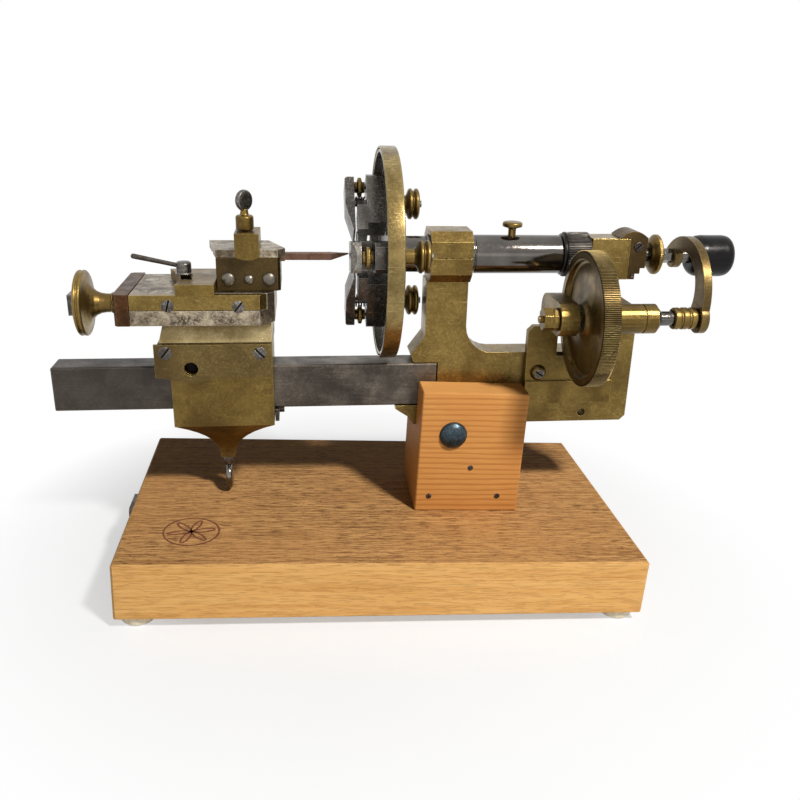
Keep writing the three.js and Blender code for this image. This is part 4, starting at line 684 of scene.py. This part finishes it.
# Headstock, mandrel and faceplate
turned("faceplate_band_fine", [(0, 44.15), (0, 44.6), (0.45, 45), (6.55, 45), (7, 44.6), (7, 43.95)], "x",
       (0, 0), BRASS_BAND, "mandrel", 220, closed=True, round_by=0.2, replaces="faceplate_band")
turned("mandrel_fine", [
    (7.3, 3.5), (7.3, 7.8), (20.6, 7.8), (20.6, 8.4), (41.4, 8.4), (41.9, 8.05), (42.4, 8.4), (80.4, 8.4),
    (81, 7.9), (81, 6.5), (93.5, 6.5), (93.5, 5), (110.9, 5), (110.9, 3.5)], "x", (0, 0), STEEL_TUBE,
    "mandrel", 128, closed=True, round_by=0.2, replaces="mandrel_tube")
turned("lock_screw_fine", [
    (3.5, 0), (3.5, 1.7), (11.0, 1.7), (11.6, 2.4), (12.1, 4.2), (12.6, 4.4), (13.7, 4.3), (14.2, 3.6),
    (14.2, 0)], "z", (59, 0), BRASS_BRIGHT, "lock", 72, round_by=0.25, replaces="lock_screw")
turned("centre_knob_fine", [
    (121.8, 0), (121.8, 5.0), (122.1, 5.6), (122.9, 6.4), (123.8, 7.7), (124.5, 8.6), (124.8, 8.9),
    (125.9, 8.9), (126.2, 8.5), (126.2, 0)], "x", (0, 0), BRASS_BRIGHT, "pump_centre", 180, round_by=0.15,
    wave=knurl(124.7, 126.0, 8.75, 60, 0.2), replaces="centre_knob")


TOOTH = (0.0, 0.15, 1.0, 1.0, 0.15, 0.0)


def toothed(name, teeth, centre, phase, profile, material, body, replaces, root):
    """Gear wheel: the rows of the profile above the root circle follow the teeth."""
    per = len(TOOTH)

    def wave(angle, along, radius):
        if radius <= root + 1e-6:
            return radius
        turn = ((angle - phase) / (2 * math.pi / teeth) + 0.5) % 1.0
        k = min(per - 1, int(round(turn * per - 0.5 + 1e-6)) % per)
        return root + (radius - root) * TOOTH[k]

    points, faces = lathe_mesh(profile, "x", centre, teeth * per, True, wave)
    add_mesh(name, points, outward(points, faces), material, body, LATHE, 25, replaces=replaces)


mesh_angle = math.atan2(-SHAFT[1], -SHAFT[0])
toothed("gear_wheel_fine", GEAR_TEETH, SHAFT, mesh_angle, [
    (83, 3.4), (83, 6.3), (83.25, 6.6), (84.0, 7.3), (84.7, 8.6), (85.15, 10.4), (85.4, 13.0), (85.4, 23.3),
    (84.9, 24.2), (83.4, 24.6), (83, 25.0), (83, GEAR_ROOT), (83.15, GEAR_TIP - 0.12), (83.3, GEAR_TIP),
    (89.9, GEAR_TIP), (90.05, GEAR_TIP - 0.12), (90.2, GEAR_ROOT), (90.2, 25.0), (89.8, 24.6), (88.3, 24.2),
    (87.8, 23.3), (87.8, 13.0), (88.05, 10.4), (88.5, 8.6), (89.2, 7.3), (89.95, 6.6), (90.2, 6.3),
    (90.2, 3.4)], BRASS_GEAR, "crank", "gear_wheel", GEAR_ROOT)
toothed("pinion_fine", PINION_TEETH, (0, 0), mesh_angle + math.pi + math.pi / PINION_TEETH, [
    (81.3, 6.8), (81.3, 8.7), (81.7, 9.1), (82.4, 9.1), (82.4, PINION_ROOT), (82.7, PINION_TIP - 0.1),
    (82.9, PINION_TIP), (93.0, PINION_TIP), (93.2, PINION_TIP - 0.1), (93.3, PINION_ROOT), (93.3, 6.8)],
    STEEL_GEAR, "mandrel", "pinion", PINION_ROOT)

# Crank
turned("crank_collar_fine", [
    (123.2, 3.4), (123.2, 4.2), (123.6, 4.6), (125.6, 4.7), (126.1, 4.1), (126.7, 4.1), (127.1, 4.7),
    (129.3, 4.7), (129.8, 4.1), (130.4, 4.1), (130.8, 4.7), (132.9, 4.6), (133.4, 4.1), (133.4, 3.4)], "x",
    SHAFT, BRASS_BRIGHT, "crank", 72, closed=True, round_by=0.2, replaces="crank_collar")
turned("crank_shaft_fine", [(83.4, 0), (83.4, 3.1), (137.4, 3.1), (137.4, 0)], "x", SHAFT, STEEL_BRIGHT,
       "crank", 64, round_by=0.3, replaces="crank_shaft")
ARM_LEFT, ARM_RIGHT = 133.7, 137.2
GRIP = (1.2, -0.8)


def bow(cy, cz, radius, first, last):
    return [(cy + radius * math.cos(a), cz + radius * math.sin(a))
            for a in np.radians(np.linspace(first, last, 61))]


arm_outline = bow(-11.8, -14.3, 24.2, 208, 32) + bow(-11.5, -11.6, 15.3, 42, 206)
prism("crank_arm_bow", arm_outline, ARM_LEFT, ARM_RIGHT, BRASS_ARM, "crank", replaces="crank_arm", smooth=40)
for label, at, bore, radius in (("foot", SHAFT, 3.15, 6.4), ("eye", GRIP, 1.95, 5.2)):
    turned(f"crank_arm_{label}", [
        (ARM_LEFT - 0.08, bore), (ARM_LEFT - 0.08, radius - 0.3), (ARM_LEFT + 0.22, radius),
        (ARM_RIGHT - 0.22, radius), (ARM_RIGHT + 0.08, radius - 0.3), (ARM_RIGHT + 0.08, bore)], "x", at,
        BRASS_ARM, "crank", 96, closed=True, round_by=0.15)
turned("handle_fine", [
    (141.8, 2.3), (141.8, 5.9), (142.2, 6.9), (143.2, 8.1), (144.8, 9.0), (147.0, 9.3), (157.0, 9.3),
    (159.0, 8.95), (160.3, 8.0), (160.9, 6.6), (161.0, 5.4), (161.0, 2.3)], "x", GRIP, EBONY, "grip", 96,
    closed=True, round_by=0.5, replaces="handle")

# Dogs
DOG_ANGLES = (("near", 82), ("top", -38), ("low", 202))
STUD_RADIUS, JACK_RADIUS = 24.6, 32.6


def coil_spring(label, matrix):
    """Round wire wound about the stud of a dog, with flat ends."""
    wire, radius, turns, steps, sides = 0.36, 2.7, 3.4, 32, 10
    start, end = -9.4 + 0.66, -4.1 - 0.66
    rings = int(turns * steps)
    points, faces = [], []
    for i in range(rings + 1):
        angle = 2 * math.pi * i / steps
        along = start + (end - start) * i / rings
        for k in range(sides):
            t = 2 * math.pi * k / sides
            r = radius + wire * math.cos(t)
            points.append((along + wire * math.sin(t), r * math.cos(angle),
                           STUD_RADIUS + r * math.sin(angle)))
    for i in range(rings):
        for k in range(sides):
            a, b = i * sides + k, i * sides + (k + 1) % sides
            faces.append((a, a + sides, b + sides, b))
    faces.append(tuple(range(sides)))
    faces.append(tuple(range((rings + 1) * sides - 1, rings * sides - 1, -1)))
    add_mesh(f"dog_{label}_spring_fine", points, outward(points, faces), STEEL_DARK, f"dog_{label}", matrix,
             50, replaces=f"dog_{label}_spring")


def dog(label, matrix):
    nut_profile = [(7.3, 1.9), (7.3, 3.3), (12.6, 3.3), (13.6, 3.9), (14.2, 5.2)]
    for left in (14.2, 16.9):
        nut_profile += [(left + 0.35, 6.2), (left + 0.9, 6.75), (left + 1.6, 6.75), (left + 2.15, 6.2),
                        (left + 2.5, 5.3)]
    nut_profile += [(19.4, 1.9)]
    turned(f"dog_{label}_nut_fine", nut_profile, "x", (0, STUD_RADIUS), BRASS_BRIGHT, f"dog_{label}_nut", 72,
           closed=True, round_by=0.2, matrix=matrix, replaces=f"dog_{label}_back_nut")
    turned(f"dog_{label}_jack_fine", [
        (-9.1, 1.1), (-9.1, 2.2), (-8.9, 2.4), (-7.9, 2.5), (-7.7, 3.6), (-7.4, 4.3), (-6.1, 4.3),
        (-5.8, 3.6), (-5.6, 2.5), (-4.6, 2.4), (-4.4, 2.2), (-4.4, 1.1)], "x", (0, JACK_RADIUS), BRASS_BRIGHT,
        f"dog_{label}_jack", 96, closed=True, round_by=0.12, wave=knurl(-7.5, -6.0, 4.1, 30, 0.2),
        matrix=matrix, replaces=f"dog_{label}_jack_nut")
    coil_spring(label, matrix)


for label, degrees in DOG_ANGLES:
    dog(label, LATHE @ Matrix.Rotation(math.radians(degrees), 4, "X"))

# Rear bearing and bracket screws
slotted("rear_cap_screw", (115.0, -6.3, 4.6), 2.1, 0.7, 0.7, "stand", STEEL_DARK)
slotted("rear_cap_low_screw", (113.6, -6.3, -8.4), 0.9, 0.5, 0.2, "stand", STEEL_DARK)
for i, (x, z) in enumerate(((73.0, -51.9), (101.4, -51.9))):
    turned(f"bracket_cup_{i}", [(-10.35, 0), (-10.35, 3.7), (-10.9, 3.6), (-12.2, 3.0), (-12.6, 2.5),
                                (-12.6, 0)], "y", (x, z), BRASS, "stand", 48, round_by=0.3)
    slotted(f"bracket_screw_{i}", (x, -12.55, z), 2.15, 0.55, -0.6 + i, "stand", STEEL)
slotted("bracket_set_screw", (80.5, -10.4, -31.6), 1.1, 0.3, 0.4, "stand", STEEL_DARK)
# Saddle
for i, (x, z) in enumerate(((-91.0, -39.9), (-51.3, -40.3))):
    slotted(f"saddle_plate_screw_{i}", (x, -13.78, z), 2.8, 0.3, 0.9 - 1.7 * i, "saddle", STEEL)
# painted shade: a dark disc at the bottom of the front plate's hole
turned("saddle_hole_painted_shade", [(-8.35, 0), (-8.35, 3.0), (-9.4, 3.0), (-9.7, 2.4), (-9.8, 0)], "y",
       (-80.6, -47.1), SLOT_PAINTED_SHADE, "saddle", 40, round_by=0.15)
SADDLE_SCREW_X = -67.9
turned("saddle_screw_stem", [
    (-98.5, 0), (-98.5, 1.6), (-97.6, 2.3), (-97.2, 2.7), (-94.1, 2.7), (-93.9, 2.3), (-93.9, 1.6),
    (-69, 1.6), (-69, 0)], "z", (SADDLE_SCREW_X, 0), STEEL, "saddle_clamp", 48, round_by=0.2)


def thumb_ear(name, centre, half_wide, half_high, half_thick, axis_turn, body, material, replaces=None):
    """Flat oval thumb piece, thinner at its rim."""
    n, points, faces = 48, [], []
    rows = ((0.0, 1.0), (0.4, 1.0), (0.72, 1.0), (0.93, 0.75), (1.0, 0.32))
    spin = Matrix.Rotation(axis_turn, 3, "Z")
    table = {}
    for side in (1, -1):
        for k, (share, thick) in enumerate(rows):
            for i in range(n):
                t = 2 * math.pi * i / n
                table[side, k, i] = len(points)
                p = spin @ Vector((half_wide * share * math.cos(t), side * half_thick * thick,
                                   half_high * share * math.sin(t)))
                points.append(tuple(p + Vector(centre)))
    for i in range(n):
        j = (i + 1) % n
        for k in range(len(rows) - 1):
            faces.append((table[1, k, i], table[1, k + 1, i], table[1, k + 1, j], table[1, k, j]))
            faces.append((table[-1, k, j], table[-1, k + 1, j], table[-1, k + 1, i], table[-1, k, i]))
        last = len(rows) - 1
        faces.append((table[1, last, i], table[-1, last, i], table[-1, last, j], table[1, last, j]))
    points, faces = merged(points, faces)
    add_mesh(name, points, outward(points, faces), material, body, LATHE, 40, replaces=replaces)


thumb_ear("saddle_screw_ear", (SADDLE_SCREW_X, 0, -103.8), 6.4, 6.4, 1.5, math.pi / 2, "saddle_clamp",
          STEEL_BRIGHT, "saddle_clamp_screw")

# Cross slide, top slide and hand wheel
for i, x in enumerate((-88.2, -52.4)):
    turned(f"cross_pin_{i}", [(-36.0, 0), (-36.0, 0.9), (-33.2, 0.9), (-33.0, 0.7), (-33.0, 0)], "z",
           (x, -9.6), BRASS_BRIGHT, "top_slide", 24, round_by=0.1)
for i, (x, z) in enumerate(((-87.9, -18.4), (-59.2, -18.9))):
    slotted(f"strip_screw_{i}", (x, -17.5, z), 2.6, 0.35, 1.3 - 0.4 * i, "top_slide", STEEL)

WHEEL = (2.5, -21.9)
wheel_profile = [(-127.7, 2.4), (-127.7, 11.8), (-127.6, 13.0)]
for left in (-127.7, -125.9):
    wheel_profile += [(left + 0.15, 13.5), (left + 0.5, 14.0), (left + 0.9, 14.1), (left + 1.3, 14.0),
                      (left + 1.65, 13.5)]
wheel_profile += [(-124.1, 13.2), (-124.1, 12.4), (-123.8, 10.6), (-123.1, 8.6), (-122.0, 6.7), (-120.5, 5.3),
                  (-118.6, 4.4), (-116.4, 4.05), (-114.2, 4.0), (-113.9, 4.5), (-113.4, 4.6), (-113.05, 4.1),
                  (-112.8, 5.0), (-110.1, 5.0), (-110.1, 2.4)]
turned("handwheel_fine", wheel_profile, "x", WHEEL, BRASS_BRIGHT, "hand_wheel", 128, closed=True,
       round_by=0.12, replaces="handwheel")
turned("lead_screw_fine", [(-129.4, 0), (-129.4, 2.0)] + [
    (a, 2.0 if i % 2 == 0 else 1.72) for i, a in enumerate(np.arange(-102, -48.6, 0.4))]
    + [(-46.4, 2.0), (-46.4, 0)], "x", WHEEL, STEEL_BRIGHT, "hand_wheel", 32, round_by=0,
    replaces="lead_screw")
prism("handwheel_square", ring(*WHEEL, 6.3, 4, math.pi / 4), -131.6, -127.6, STEEL, "hand_wheel")

# Carriage, clamps and tool holder
for i, (x, r) in enumerate(((-63.2, 2.9), (-54.7, 2.2), (-46.4, 2.9))):
    turned(f"block_dome_{i}", [
        (-10.9, 0), (-10.9, r), (-11.4, r), (-11.7, r * 0.95), (-12.15, r * 0.78), (-12.5, r * 0.52),
        (-12.68, r * 0.26), (-12.72, 0)], "y", (x, -8.8), STEEL_DOME, "carriage", 48, round_by=0.08)

TOOL_SCREW = (-55.9, -6)
turned("tool_screw_collar", [
    (3.95, 0), (3.95, 1.3), (11.0, 1.3), (11.0, 3.2), (11.5, 3.7), (16.4, 3.7), (17.0, 3.2), (17.2, 1.9),
    (18.4, 1.6), (19.6, 1.6), (19.6, 0)], "z", TOOL_SCREW, BRASS, "tool_clamp", 72, round_by=0.2)
thumb_ear("tool_screw_ear", (*TOOL_SCREW, 23.0), 4.2, 4.3, 1.4, math.radians(48), "tool_clamp", STEEL,
          "tool_thumb_screw")


CLAMP_NUT = (-82.6, -0.4)
turned("clamp_nut_fine", [
    (-13.4, 0), (-13.4, 1.5), (-8.6, 1.5), (-8.6, 3.6), (-8.1, 3.6), (-8.1, 3.2), (-4.0, 3.2), (-3.4, 2.6),
    (-3.2, 1.2), (-3.2, 0)], "z", CLAMP_NUT, STEEL, "clamp", 64, round_by=0.25, replaces="clamp_lever")


def clamp_rod(start, end):
    """Tapered rod with a collar beside the clamp nut; each station is a share of its length and a radius."""
    along = end - start
    side = along.cross(Vector((0, 1, 0))).normalized()
    other = along.cross(side).normalized()
    stations = [(0.0, 0.0), (0.004, 0.6), (0.02, 1.1), (0.045, 1.45), (0.07, 1.45), (0.1, 1.15), (0.13, 0.95),
                (0.5, 0.95), (0.96, 1.1), (0.985, 0.95), (1.0, 0.4), (1.0, 0.0)]
    points, faces, n = [], [], 20
    for share, r in stations:
        for i in range(n):
            t = 2 * math.pi * i / n
            points.append(tuple(start + along * share + side * r * math.cos(t) + other * r * math.sin(t)))
    for k in range(len(stations) - 1):
        for i in range(n):
            j = (i + 1) % n
            faces.append((k * n + i, k * n + j, (k + 1) * n + j, (k + 1) * n + i))
    points, faces = merged(points, faces)
    add_mesh("clamp_rod_fine", points, outward(points, faces), STEEL_DARK, "clamp", LATHE, 40)


clamp_rod(Vector((-79.9, -0.4, -6.1)), Vector((-104, -0.4, -0.9)))


# Floor, background and light
def seen(g):
    """1 for rays from the camera, mirrored or refracted, 0 for the rays that light the object."""
    path = g.node("LightPath")
    rays = [path.outputs[name] for name in ("Is Camera Ray", "Is Glossy Ray", "Is Transmission Ray")]
    return g.math("MAXIMUM", g.math("MAXIMUM", rays[0], rays[1]), rays[2])


def build_floor():
    """Pale paper that fades to plain white round the object for the rays that seen() names."""
    size = 3.0
    shadow_reach, white_reach = 100, 200
    mesh = bpy.data.meshes.new("floor")
    mesh.from_pydata([(-size, -size, 0), (size, -size, 0), (size, size, 0), (-size, size, 0)], [],
                     [(0, 1, 2, 3)])
    floor = bpy.data.objects.new("floor", mesh)
    bpy.context.scene.collection.objects.link(floor)
    g = Graph("floor_paper")
    colour = g.mix(g.ramp(g.noise(0.02, 4), 0.3, 0.7), (0.85, 0.9, 0.98, 1), (0.87, 0.925, 0.995, 1))
    g.set("Base Color", colour)
    g.set("Roughness", 0.95)
    g.set("Specular IOR Level", 0.0)
    reach = g.node("VectorMath", operation="LENGTH")
    g.link(g.mm, reach.inputs[0])
    away = g.math("MULTIPLY", g.ramp(reach.outputs["Value"], shadow_reach, white_reach, 0.45, 1.0), seen(g))
    white = g.node("Emission")
    blend = g.node("MixShader")
    g.link(away, blend.inputs[0])
    g.link(g.shader.outputs[0], blend.inputs[1])
    g.link(white.outputs[0], blend.inputs[2])
    g.link(blend.outputs[0], g.out.inputs["Surface"])
    mesh.materials.append(g.m)


def build_world():
    world = bpy.data.worlds.new("world")
    bpy.context.scene.world = world
    world.use_nodes = True
    t = world.node_tree
    t.nodes.clear()
    out = t.nodes.new("ShaderNodeOutputWorld")
    studio = t.nodes.new("ShaderNodeBackground")
    studio.inputs["Color"].default_value = (0.022, 0.0215, 0.021, 1)
    white = t.nodes.new("ShaderNodeBackground")
    white.inputs["Color"].default_value = (1, 1, 1, 1)
    path = t.nodes.new("ShaderNodeLightPath")
    most = path.outputs["Is Camera Ray"]
    for name in ("Is Glossy Ray", "Is Transmission Ray"):
        step = t.nodes.new("ShaderNodeMath")
        step.operation = "MAXIMUM"
        t.links.new(most, step.inputs[0])
        t.links.new(path.outputs[name], step.inputs[1])
        most = step.outputs[0]
    mix = t.nodes.new("ShaderNodeMixShader")
    t.links.new(most, mix.inputs[0])
    t.links.new(studio.outputs[0], mix.inputs[1])
    t.links.new(white.outputs[0], mix.inputs[2])
    t.links.new(mix.outputs[0], out.inputs["Surface"])


def lamp(name, where, target, size, power, colour):
    light = bpy.data.lights.new(name, "AREA")
    light.shape = "RECTANGLE"
    light.size, light.size_y = size
    light.energy = power
    light.color = colour
    obj = bpy.data.objects.new(name, light)
    obj.location = BOARD + Vector(where) * MM
    aim = (BOARD + Vector(target) * MM) - obj.location
    obj.rotation_euler = aim.to_track_quat("-Z", "Y").to_euler()
    obj.visible_camera = False
    bpy.context.scene.collection.objects.link(obj)


build_floor()
build_world()
lamp("key", (525, -552, 940), (100, 60, 90), (0.12, 0.12), 14.6, (1, 0.94, 0.86))
lamp("fill_left", (-650, -500, 420), (90, 60, 110), (0.5, 0.7), 0.25, (1, 0.97, 0.93))
lamp("top", (60, 250, 950), (100, 60, 100), (0.7, 0.5), 0.15, (0.97, 0.98, 1))
lamp("front_low", (150, -900, 260), (110, 60, 100), (0.9, 0.3), 0.6, (1, 0.97, 0.93))

bpy.context.scene.view_settings.view_transform = "Standard"
